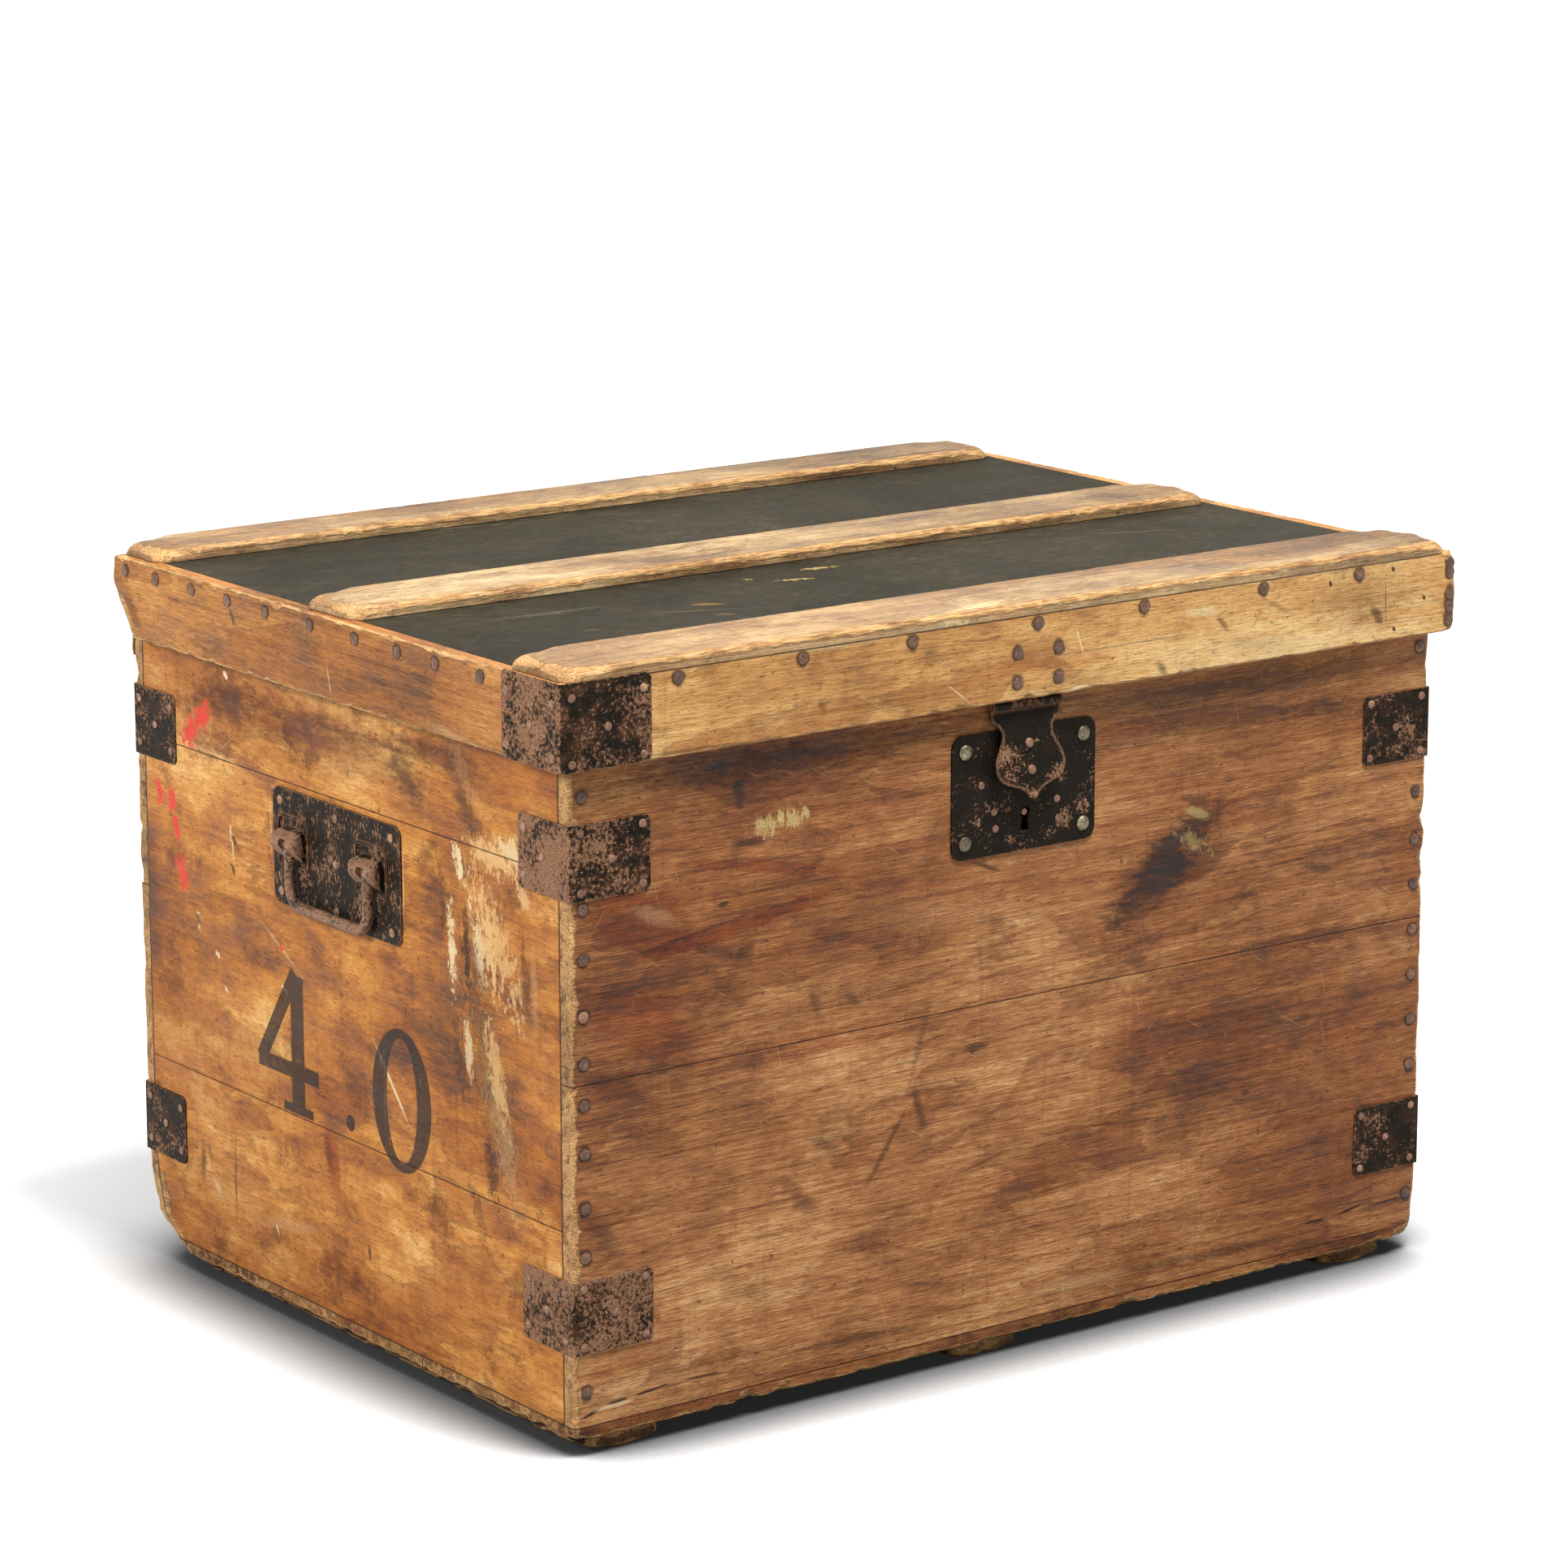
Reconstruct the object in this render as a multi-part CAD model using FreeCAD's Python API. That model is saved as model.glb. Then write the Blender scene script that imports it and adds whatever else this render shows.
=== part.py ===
import FreeCAD, Part
import math
import os

# Old wooden travelling trunk with a rim lid, iron corner brackets, a hasp lock,
# a drop handle on each end and three skids. All lengths are in millimetres.
# Frame: +X runs along the front to the right as seen from the front, +Y runs from
# the front to the back, +Z is up. The origin is on the floor under the case's centre.

V = FreeCAD.Vector
HERE = V(0, 0, 0)
X_AXIS = V(1, 0, 0)
Y_AXIS = V(0, 1, 0)
Z_AXIS = V(0, 0, 1)

# Case
case_length = 760.0
case_depth = 562.0
case_wall_top = 517.7
front_thick = 12.0
end_thick = 20.0
bottom_thick = 9.0
bottom_board_count = 3
skid_thick = 12.0
skid_width = 60.0
skid_end_inset = 4.0
skid_corner_radius = 5.0
skid_places_share = [0.021, 0.464, 0.961]
front_joint_share = 0.477
back_joint_share = 0.53
left_joints_share = [0.272, 0.761]
right_joints_share = [0.36, 0.70]

# Rail along the back under the hinges
rail_thick = 5.0
rail_height = 63.0
rail_nail_share = 0.75

# Lid: a flat top between three rim boards, covered with canvas, with three battens
lid_rest_gap = 0.3
top_thick = 12.0
canvas_thick = 1.0
canvas_edge_gap = 0.3
top_board_count = 3
rim_drop = 58.0
rim_front_thick = 10.0
rim_end_thick = 12.0
rim_front_gap = 1.7
rim_end_gap = 1.5
rim_heel_low = 27.0
rim_heel_mid = 20.0
rim_heel_mid_drop = 46.0
rim_heel_top_drop = 21.0
rim_heel_step = 3.0
batten_height = 9.5
batten_round = 4.0
batten_corner = 17.0
front_batten_width = 74.0
middle_batten_width = 70.0
back_batten_width = 58.0
middle_batten_from_front = 246.0
batten_left_inset = 6.0
batten_right_inset = 13.0
front_batten_inset = 5.0

# Iron corner brackets
bracket_thick = 1.2
bracket_bend = 2.2
bracket_height = 51.5
bracket_front_leaf = 64.0
bracket_end_leaf = 58.0
bracket_corner = 5.0
bracket_lower_z = 72.0
bracket_upper_z = 383.0
bracket_sag_low = 4.0
bracket_sag_high = 9.0
lid_bracket_height = 55.0
lid_bracket_front_leaf = 71.0
lid_bracket_end_leaf = 67.0
tack_inset = 6.5
tack_front_step = 5.5
tack_end_step = 9.5

# Nails, tacks, rivets and screws
nail_head_radius = 4.0
nail_head_high = 1.3
nail_radius = 1.3
nail_long = 30.0
tack_head_radius = 2.9
tack_head_high = 1.3
tack_radius = 0.9
tack_long = 9.0
hole_gap = 0.12
edge_nail_inset = 10.0
left_nails_share = [0.049, 0.238, 0.306, 0.382, 0.449, 0.506, 0.571, 0.649, 0.717, 0.869]
right_nails_share = [0.050, 0.251, 0.321, 0.390, 0.459, 0.529, 0.597, 0.670, 0.887]
back_nails_share = [0.06, 0.24, 0.32, 0.41, 0.50, 0.58, 0.67, 0.85]
rail_nails_share = [0.03, 0.25, 0.50, 0.75, 0.97]
base_nails_share = [0.16, 0.36, 0.60, 0.82]
base_end_nails_share = [0.12, 0.37, 0.63, 0.88]
skid_nails_share = [0.08, 0.5, 0.92]
skid_nail_sink = 2.5
base_end_inset_share = 0.4
rim_nails_share = [0.118, 0.247, 0.364, 0.502, 0.623, 0.763, 0.879]
rim_end_nails_share = [0.146, 0.242, 0.324, 0.418, 0.520, 0.624, 0.714, 0.801, 0.890, 0.967]
rim_corner_nails_share = [0.13, 0.25, 0.52, 0.68, 0.86]
rim_row_share = 0.62
rim_end_row_share = 0.32
batten_nails_share = [0.06, 0.28, 0.5, 0.72, 0.94]
batten_nail_row_share = 0.5
front_batten_nail_row_share = 0.62
batten_nail_long = 19.0
rim_nail_long = 24.0
base_nail_long = 26.0

# Lock
lock_plate_flange = 18.4
lock_plate_height = 87.4
lock_plate_thick = 1.6
lock_plate_corner = 9.0
lock_plate_drop = 153.7
lock_plate_shift = -1.0
stud_radius = 5.3
stud_high = 3.2
stud_nail_radius = 1.5
stud_nail_long = 11.0
stud_inset_x = 11.0
stud_inset_z = 11.5
plate_rivet_radius = 2.7
plate_rivet_high = 1.2
plate_rivet_shank = 1.3
plate_rivets_share = [(0.20, 0.58), (0.73, 0.37), (0.29, 0.35), (0.74, 0.21), (0.30, 0.21)]
keyhole_radius = 4.4
keyhole_slot_top = 4.6
keyhole_slot_low = 7.6
keyhole_drop = 13.0
keyhole_up = 26.8
keyhole_shift = 0.8
drill_pin_radius = 2.2
drill_pin_sink = 0.6
lock_box_length = 90.0
lock_box_height = 74.0
lock_box_depth = 13.0
lock_box_wall = 1.2
mortise_gap = 0.5
bolt_thick = 1.5
bolt_gap = 0.3
bolt_rest_gap = 1.4
bolt_height_share = 0.5465
bolt_travel = 7.0
bolt_finger_height = 8.0
bolt_body_height = 22.0
bolt_end_gap = 3.4
bolt_tail_length = 18.0
bolt_tail_height = 8.0
bolt_talon = 8.0
bolt_talon_deep = 5.0
guide_radius = 2.0
guide_gap = 0.1
guide_inset = 4.5
guide_end = 7.0
spring_thick = 0.8
spring_width = 6.0
spring_lift = 9.0
ward_thick = 0.8
ward_radius = 9.0
ward_long = 5.0

# Hasp: a leaf behind the lid's front rim, and a shield that hangs on its knuckle
hasp_shift = -2.7
hasp_leaf_shift = 2.7
hasp_nail_shift = 4.8
hasp_leaf_thick = 1.2
hasp_leaf_length = 60.0
hasp_leaf_height = 42.0
hasp_knuckle_radius = 3.5
hasp_knuckle_length = 61.0
hasp_middle_length = 25.0
hasp_knuckle_gap = 0.3
hasp_pin_radius = 1.6
pin_play = 0.05
hasp_thick = 1.6
hasp_plate_gap = 0.3
hasp_out_angle = 10.0
hasp_length = 66.0
hasp_shoulder_half = 30.2
hasp_neck_half = 22.0
hasp_shield_half = 30.2
hasp_shoulder_share = 0.165
hasp_neck_share = 0.33
hasp_wide_share = 0.65
hasp_belly_share = 0.77
hasp_lower_share = 0.853
hasp_ogee_share = 0.915
hasp_belly_half_share = 0.925
hasp_lower_half_share = 0.605
hasp_ogee_half_share = 0.27
hasp_tip_half_share = 0.10
hasp_lip_radius = 2.6
staple_thick = 2.4
staple_top = 26.8
staple_low = 48.2
staple_top_deep = 4.6
staple_low_deep = 8.2
staple_rivet_radius = 3.4
staple_rivet_high = 2.0
staple_shank = 1.2
staple_top_bar = 2.6
staple_low_bar = 2.6
staple_top_skin = 1.2
staple_low_skin = 2.4
staple_rivet_inset = 1.4
slot_side_gap = 1.0
slot_top_gap = 0.5
slot_low_gap = 1.5
hasp_nail_spread_x = 36.0
hasp_nail_spread_z = 20.7
hasp_nail_low = 12.4

# Drop handles
handle_plate_length = 166.0
handle_plate_height = 84.5
handle_plate_thick = 1.5
handle_plate_corner = 8.0
handle_plate_z = 352.5
handle_shift = 4.5
handle_rivet_radius = 3.2
handle_rivet_high = 1.3
handle_rivet_shank = 1.5
handle_rivet_long = 12.0
handle_rivets_share = [(-0.44, 0.39), (0, 0.39), (0.43, 0.39), (0, 0),
                       (-0.44, -0.39), (0, -0.40), (0.43, -0.40)]
bail_half_span = 51.0
bail_arm_radius = 4.0
bail_drop = 43.0
bail_bend = 14.0
bail_pin_radius = 3.0
bail_pin_half = 10.0
bail_out = 7.2
bail_shift = -1.3
bail_pivot_up = 5.0
hood_shift = -2.6
hood_radius = 7.0
hood_half = 16.0
hood_top = 11.0
hood_foot = 14.0
hood_round = 8.0
hood_end_round = 7.0
hood_slot_gap = 0.5
frame_length = 42.0
frame_height = 39.0
frame_bead = 2.6
frame_bead_high = 1.5
frame_corner = 7.0

# Back hinges
hinge_length = 76.0
hinge_spread_share = 0.33
hinge_leaf_thick = 2.0
hinge_knuckle_radius = 4.0
hinge_middle_share = 0.36
hinge_case_leaf_height = 42.0
hinge_lid_leaf_depth = 30.0
hinge_pin_radius = 2.0
hinge_side_gap = 0.3
hinge_face_gap = 0.3
hinge_stop_length = 9.0
hinge_stop_low = 0.8
hinge_stop_thick = 3.0
screw_head_radius = 3.6
screw_head_deep = 1.2
screw_radius = 1.6
screw_long = 9.0
screw_slot = 0.9
screw_places_share = [-0.36, 0.0, 0.36]
side_screw_share = 0.5
middle_screw_share = 0.76

overrun = 40.0

# Places worked out from the sizes above
left_x = -case_length / 2
right_x = case_length / 2
front_y = -case_depth / 2
back_y = case_depth / 2
bottom_z = skid_thick
wall_z = skid_thick + bottom_thick
wall_height = case_wall_top - wall_z
rail_back_y = back_y + rail_thick
top_under_z = case_wall_top + lid_rest_gap
canvas_z = top_under_z + top_thick
lid_z = canvas_z + canvas_thick
rim_low_z = lid_z - rim_drop
rim_inner_front_y = front_y - rim_front_gap
rim_front_y = rim_inner_front_y - rim_front_thick
rim_inner_x = right_x + rim_end_gap
rim_outer_x = rim_inner_x + rim_end_thick
lid_back_y = rail_back_y
rim_out_front = front_y - rim_front_y
rim_out_end = rim_outer_x - right_x
lock_x = lock_plate_shift
lock_plate_length = lock_box_length + lock_plate_flange * 2
lock_plate_low = case_wall_top - lock_plate_drop
lock_mid_z = lock_plate_low + lock_plate_height / 2
key_x = lock_x + keyhole_shift
key_z = lock_plate_low + keyhole_up
hasp_y = rim_inner_front_y + hasp_leaf_thick - hasp_knuckle_radius
hasp_z = rim_low_z - hasp_knuckle_gap - hasp_knuckle_radius
hasp_back_y = front_y - lock_plate_thick - hasp_plate_gap
hinge_y = rail_back_y + hinge_knuckle_radius + hinge_face_gap
hinge_z = top_under_z + hinge_leaf_thick - hinge_knuckle_radius


def box(x0, x1, y0, y1, z0, z1):
    # A block between two corners, in any order.
    low = V(min(x0, x1), min(y0, y1), min(z0, z1))
    return Part.makeBox(abs(x1 - x0), abs(y1 - y0), abs(z1 - z0), low)


def rod(start, direction, radius, length):
    return Part.makeCylinder(radius, length, start, direction)


def straight_edges(shape, direction, keep):
    # Straight edges of the shape that run along a direction and pass a test.
    found = []
    for edge in shape.Edges:
        if edge.Curve.TypeId != "Part::GeomLine":
            continue
        along = edge.tangentAt(edge.FirstParameter)
        if abs(abs(along.dot(direction)) - 1) < 1e-6 and keep(edge.CenterOfMass):
            found.append(edge)
    return found


def place_on(side, along, height, out):
    # Placement of a piece drawn flat in XY with +Z outward, on one face of the case.
    turn = {"front": 0, "left": -90, "right": 90, "back": 180}[side]
    reach = case_depth / 2 if side in ("front", "back") else case_length / 2
    upright = FreeCAD.Rotation(X_AXIS, 90)
    spin = FreeCAD.Rotation(Z_AXIS, turn)
    base = spin.multVec(V(along, -reach - out, height))
    return FreeCAD.Placement(base, spin.multiply(upright))


def placed(shape, placement):
    copy = shape.copy()
    copy.Placement = placement.multiply(copy.Placement)
    return copy


def rounded_plate(length, height, thick, radius):
    # A flat plate centred on the origin, its corners rounded, from z = 0 up.
    plate = box(-length / 2, length / 2, -height / 2, height / 2, 0, thick)
    corners = straight_edges(plate, Z_AXIS, lambda p: True)
    return plate.makeFillet(radius, corners)


def turned_fastener(head_radius, head_high, shank_radius, shank_long):
    # A head above z = 0, its top part of a ball, and a round shank below it, turned in one.
    rim_high = head_high / 3
    dome_high = head_high - rim_high
    ball = (head_radius ** 2 + dome_high ** 2) / (2 * dome_high)
    half_turn = math.asin(head_radius / ball) / 2
    brow = V(ball * math.sin(half_turn), 0, head_high - ball + ball * math.cos(half_turn))
    dome = Part.Arc(V(head_radius, 0, rim_high), brow, V(0, 0, head_high))
    points = [V(0, 0, head_high), V(0, 0, -shank_long), V(shank_radius, 0, -shank_long),
              V(shank_radius, 0, 0), V(head_radius, 0, 0), V(head_radius, 0, rim_high)]
    edges = [Part.makeLine(a, b) for a, b in zip(points, points[1:])]
    profile = Part.Wire(edges + [dome.toShape()])
    return Part.Face(profile).revolve(HERE, Z_AXIS, 360)


class Fasteners:
    # A kind of nail, rivet or screw: every place it goes to, and the holes it needs.
    def __init__(self, pattern, hole_radius, hole_long, sink=0):
        self.pattern = pattern
        self.hole = rod(V(0, 0, -hole_long), Z_AXIS, hole_radius, hole_long + sink)
        self.solids = []
        self.holes = []

    def put(self, placement):
        self.solids.append(placed(self.pattern, placement))
        self.holes.append(placed(self.hole, placement))


def nail_kind(head_radius, head_high, shank_radius, shank_long):
    pattern = turned_fastener(head_radius, head_high, shank_radius, shank_long)
    return Fasteners(pattern, shank_radius + hole_gap, shank_long + hole_gap)


def drilled(shape, kinds):
    # The shape with the holes of every fastener that reaches it.
    room = shape.BoundBox
    cutters = [h for kind in kinds for h in kind.holes if room.intersect(h.BoundBox)]
    return shape.cut(cutters) if cutters else shape


def export(name, shapes):
    shape = shapes if isinstance(shapes, Part.Shape) else Part.makeCompound(shapes)
    bad = [s for s in shape.Solids if not s.isValid()]
    print(name, len(shape.Solids), "solids,", round(shape.Volume / 1000, 2), "cm3",
          "INVALID" if bad else "")
    shape.exportStep(os.path.join("parts", name + ".step"))


board_nails = nail_kind(nail_head_radius, nail_head_high, nail_radius, nail_long)
rim_nails = nail_kind(nail_head_radius, nail_head_high, nail_radius, rim_nail_long)
hasp_nail_long = rim_front_thick + hasp_leaf_thick
hasp_nails = nail_kind(nail_head_radius, nail_head_high, nail_radius, hasp_nail_long)
case_tacks = nail_kind(tack_head_radius, tack_head_high, tack_radius, tack_long)
lid_tacks = nail_kind(tack_head_radius, tack_head_high, tack_radius, tack_long)
batten_nails = nail_kind(tack_head_radius, tack_head_high, tack_radius, batten_nail_long)
base_nails = nail_kind(tack_head_radius, tack_head_high, nail_radius, base_nail_long)
plate_studs = nail_kind(stud_radius, stud_high, stud_nail_radius, stud_nail_long)
plate_rivets = nail_kind(plate_rivet_radius, plate_rivet_high, plate_rivet_shank,
                         lock_plate_thick)
handle_rivets = nail_kind(handle_rivet_radius, handle_rivet_high, handle_rivet_shank,
                          handle_rivet_long)


def wall_height_at(share):
    return wall_z + wall_height * share


def lay_out_case_nails():
    # Nails along the upright edges, through the front and back into the end boards.
    for share in left_nails_share:
        along = left_x + edge_nail_inset
        board_nails.put(place_on("front", along, wall_height_at(share), 0))
    for share in right_nails_share:
        along = right_x - edge_nail_inset
        board_nails.put(place_on("front", along, wall_height_at(share), 0))
    for share in back_nails_share:
        for along in (left_x + edge_nail_inset, right_x - edge_nail_inset):
            board_nails.put(place_on("back", along, wall_height_at(share), 0))


def lay_out_rail_nails():
    # Short nails hold the rail on the back board.
    height = case_wall_top - rail_height * rail_nail_share
    for share in rail_nails_share:
        case_tacks.put(place_on("back", left_x + case_length * share, height, rail_thick))


def lay_out_base_nails():
    # Nails driven up through the bottom boards into the lower edges of the walls.
    down = FreeCAD.Rotation(X_AXIS, 180)
    for share in base_nails_share:
        for y in (front_y + front_thick / 2, back_y - front_thick / 2):
            place = V(left_x + case_length * share, y, bottom_z)
            base_nails.put(FreeCAD.Placement(place, down))
    for share in base_end_nails_share:
        for x in (left_x + end_thick * base_end_inset_share,
                      right_x - end_thick * base_end_inset_share):
            place = V(x, front_y + case_depth * share, bottom_z)
            base_nails.put(FreeCAD.Placement(place, down))


def skid_left_x(share):
    return left_x + (case_length - skid_width) * share


def lay_out_skid_nails():
    # Sunk nails hold each skid to the bottom boards.
    down = FreeCAD.Rotation(X_AXIS, 180)
    length = skid_thick + bottom_thick - skid_nail_sink - hole_gap
    kind = nail_kind(tack_head_radius, tack_head_high, nail_radius, length - nail_radius)
    for place_share in skid_places_share:
        for share in skid_nails_share:
            place = V(skid_left_x(place_share) + skid_width / 2, front_y + case_depth * share,
                      skid_nail_sink)
            kind.put(FreeCAD.Placement(place, down))
    return kind


def board(x0, x1, y0, y1, z0, z1, kinds):
    return drilled(box(x0, x1, y0, y1, z0, z1), kinds)


def split(low, high, shares):
    # Heights of the joints between boards, from the lowest edge to the highest.
    return [low] + [low + (high - low) * share for share in shares] + [high]


def stacked(names, heights, x0, x1, y0, y1, kinds, extra=None):
    # One board above another, edge to edge.
    for name, z0, z1 in zip(names, heights, heights[1:]):
        plank = board(x0, x1, y0, y1, z0, z1, kinds)
        if extra and plank.BoundBox.intersect(extra.BoundBox):
            plank = plank.cut(extra)
        export(name, plank)


def lock_mortise():
    # The hole in the upper front board that the lock box sits in.
    half = lock_box_length / 2 + mortise_gap
    tall = lock_box_height / 2 + mortise_gap
    return box(lock_x - half, lock_x + half, front_y - overrun, front_y + front_thick + overrun,
               lock_mid_z - tall, lock_mid_z + tall)


def make_case(skid_nails):
    kinds = [board_nails, case_tacks, base_nails, plate_studs, handle_rivets, hinge_case_screws]
    joints = split(wall_z, case_wall_top, [front_joint_share])
    stacked(["front_board_lower", "front_board_upper"], joints, left_x, right_x,
            front_y, front_y + front_thick, kinds, lock_mortise())
    joints = split(wall_z, case_wall_top, [back_joint_share])
    stacked(["back_board_lower", "back_board_upper"], joints, left_x, right_x,
            back_y - front_thick, back_y, kinds)
    y0 = front_y + front_thick
    y1 = back_y - front_thick
    rows = ["bottom", "middle", "top"]
    stacked(["left_end_board_" + row for row in rows],
            split(wall_z, case_wall_top, left_joints_share),
            left_x, left_x + end_thick, y0, y1, kinds)
    stacked(["right_end_board_" + row for row in rows],
            split(wall_z, case_wall_top, right_joints_share),
            right_x - end_thick, right_x, y0, y1, kinds)
    planks = []
    width = case_depth / bottom_board_count
    for i in range(bottom_board_count):
        near = front_y + width * i
        planks.append(board(left_x, right_x, near, near + width, bottom_z, wall_z,
                            [base_nails, skid_nails]))
    export("bottom_boards", planks)
    for name, share in zip(["skid_left", "skid_middle", "skid_right"], skid_places_share):
        x = skid_left_x(share)
        skid = box(x, x + skid_width, front_y + skid_end_inset, back_y - skid_end_inset,
                   0, skid_thick)
        ends = straight_edges(skid, X_AXIS, lambda p: p.z < skid_thick / 2)
        skid = skid.makeFillet(skid_corner_radius, ends)
        sinks = []
        for hole in skid_nails.holes:
            spot = hole.BoundBox.Center
            sinks.append(rod(V(spot.x, spot.y, -overrun), Z_AXIS,
                             tack_head_radius + hole_gap, overrun + skid_nail_sink))
        skid = skid.cut(sinks)
        export(name, drilled(skid, [skid_nails]))
    rail = board(left_x, right_x, back_y, rail_back_y, case_wall_top - rail_height,
                 case_wall_top, [case_tacks, hinge_case_screws])
    export("back_rail", rail)


def corner_bracket(front_leaf, end_leaf, height, thick, bend):
    # Two leaves round a corner at the origin: one along +X, one along +Y, both outside.
    along = box(-thick, front_leaf, -thick, 0, 0, height)
    across = box(-thick, 0, -thick, end_leaf, 0, height)
    shape = along.fuse(across).removeSplitter()
    fold = straight_edges(shape, Z_AXIS, lambda p: p.x < -thick / 2 and p.y < -thick / 2)
    shape = shape.makeFillet(bend, fold)
    tips = straight_edges(shape, Y_AXIS, lambda p: p.x > front_leaf - thick / 2)
    tips += straight_edges(shape, X_AXIS, lambda p: p.y > end_leaf - thick / 2)
    return shape.makeFillet(bracket_corner, tips)


def bracket_spots(leaf, height, step):
    # Four tacks near the corners of a leaf and one in its middle.
    near = tack_inset + nail_radius
    far = leaf - tack_inset
    spots = [(near, step), (near, height - step), (far, step), (far, height - step)]
    return spots + [((near + far) / 2, height / 2)]


def add_bracket(name, x_side, y_side, z, leaves, height, out, kinds):
    # A bracket on one corner: x_side and y_side are -1 or 1, out is how far its faces
    # lie outside the case's faces along X and along Y.
    front_leaf, end_leaf = leaves
    shape = corner_bracket(front_leaf, end_leaf, height, bracket_thick, bracket_bend)
    if x_side > 0:
        shape = shape.mirror(HERE, X_AXIS)
    if y_side > 0:
        shape = shape.mirror(HERE, Y_AXIS)
    corner = V(x_side * (right_x + out[0]), y_side * (back_y + out[1]), z)
    shape.translate(corner)
    face = "front" if y_side < 0 else "back"
    for s, h in bracket_spots(front_leaf, height, tack_front_step):
        x = corner.x - x_side * s
        along = x if face == "front" else -x
        kinds[0].put(place_on(face, along, z + h, out[1] + bracket_thick))
    end = "left" if x_side < 0 else "right"
    for s, h in bracket_spots(end_leaf, height, tack_end_step):
        y = corner.y - y_side * s
        along = -y if end == "left" else y
        kinds[0].put(place_on(end, along, z + h, out[0] + bracket_thick))
    return name, shape


def lay_out_case_brackets():
    made = []
    sag = {("left", "front"): 0, ("right", "front"): -bracket_sag_low,
           ("left", "back"): bracket_sag_high, ("right", "back"): bracket_sag_low}
    for x_name, x_side in (("left", -1), ("right", 1)):
        for y_name, y_side in (("front", -1), ("back", 1)):
            for row, z in (("lower", bracket_lower_z), ("upper", bracket_upper_z)):
                low = sag[(x_name, y_name)] if row == "lower" else min(sag[(x_name, y_name)], 0)
                name = "bracket_" + y_name + "_" + x_name + "_" + row
                leaves = (bracket_front_leaf, bracket_end_leaf)
                made.append(add_bracket(name, x_side, y_side, z + low, leaves,
                                        bracket_height, (0, 0), [case_tacks]))
    return made


def keyhole_cut():
    y = front_y - overrun
    ring = rod(V(key_x, y, key_z), Y_AXIS, keyhole_radius, overrun * 2)
    top = keyhole_slot_top / 2
    low = keyhole_slot_low / 2
    points = [V(key_x - top, y, key_z), V(key_x + top, y, key_z),
              V(key_x + low, y, key_z - keyhole_drop), V(key_x - low, y, key_z - keyhole_drop)]
    slot = Part.Face(Part.makePolygon(points + [points[0]])).extrude(V(0, overrun * 2, 0))
    return ring.fuse(slot)


def staple_slot():
    half = staple_thick / 2 + slot_side_gap
    return box(hasp_shift - half, hasp_shift + half, front_y - overrun, front_y + overrun,
               hasp_z - staple_low - slot_low_gap, hasp_z - staple_top + slot_top_gap)


def make_lock():
    for sx in (-1, 1):
        for sz in (-1, 1):
            along = lock_x + sx * (lock_plate_length / 2 - stud_inset_x)
            height = lock_mid_z + sz * (lock_plate_height / 2 - stud_inset_z)
            plate_studs.put(place_on("front", along, height, lock_plate_thick))
    for across, up in plate_rivets_share:
        along = lock_x - lock_plate_length / 2 + lock_plate_length * across
        height = lock_plate_low + lock_plate_height * up
        plate_rivets.put(place_on("front", along, height, lock_plate_thick))
    plate = placed(rounded_plate(lock_plate_length, lock_plate_height, lock_plate_thick,
                                 lock_plate_corner), place_on("front", lock_x, lock_mid_z, 0))
    plate = plate.cut([keyhole_cut(), staple_slot()])
    export("lock_plate", drilled(plate, [plate_studs, plate_rivets]))
    export("lock_plate_studs", plate_studs.solids)
    export("lock_plate_rivets", plate_rivets.solids)
    make_lock_box()


def make_lock_box():
    # The open-fronted box behind the plate, with the bolt's two guide posts and a ward.
    half = lock_box_length / 2
    tall = lock_box_height / 2
    wall = lock_box_wall
    near = front_y
    far = front_y + lock_box_depth
    shell = box(lock_x - half, lock_x + half, near, far, lock_mid_z - tall, lock_mid_z + tall)
    room = box(lock_x - half + wall, lock_x + half - wall, near - overrun, far - wall,
               lock_mid_z - tall + wall, lock_mid_z + tall - wall)
    shell = shell.cut(room)
    posts = []
    for x in guide_places():
        posts.append(rod(V(x, near, bolt_guide_z()), Y_AXIS, guide_radius, lock_box_depth))
    ward = rod(V(key_x, far - wall - ward_long, key_z), Y_AXIS, ward_radius, ward_long + wall)
    bore = rod(V(key_x, near - overrun, key_z), Y_AXIS, ward_radius - ward_thick,
               overrun + lock_box_depth - wall)
    gate = box(key_x - ward_radius, key_x + ward_radius, near, far - wall,
               key_z - ward_radius - ward_thick, key_z - ward_radius / 2)
    ward = ward.cut([bore, gate])
    shell = shell.fuse(posts + [ward])
    pin_hole = rod(V(key_x, near - overrun, key_z), Y_AXIS, drill_pin_radius + pin_play,
                   lock_box_depth + overrun * 2)
    export("lock_box", shell.cut(pin_hole))
    start = V(key_x, near - lock_plate_thick + drill_pin_sink, key_z)
    export("drill_pin", rod(start, Y_AXIS, drill_pin_radius,
                            lock_box_depth + lock_plate_thick - drill_pin_sink))
    make_bolt(near)


def bolt_finger_z():
    return hasp_z - staple_top - (staple_low - staple_top) * bolt_height_share


def bolt_body_ends():
    right = lock_x + lock_box_length / 2 - lock_box_wall - bolt_end_gap
    return bolt_tip_x() + bolt_travel, right


def guide_places():
    left, right = bolt_body_ends()
    return [left + guide_inset, right - bolt_travel - guide_end]


def bolt_tip_x():
    return hasp_shift + staple_thick / 2 + bolt_rest_gap


def bolt_guide_z():
    return bolt_finger_z() - bolt_finger_height / 2 - bolt_body_height / 2


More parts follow.
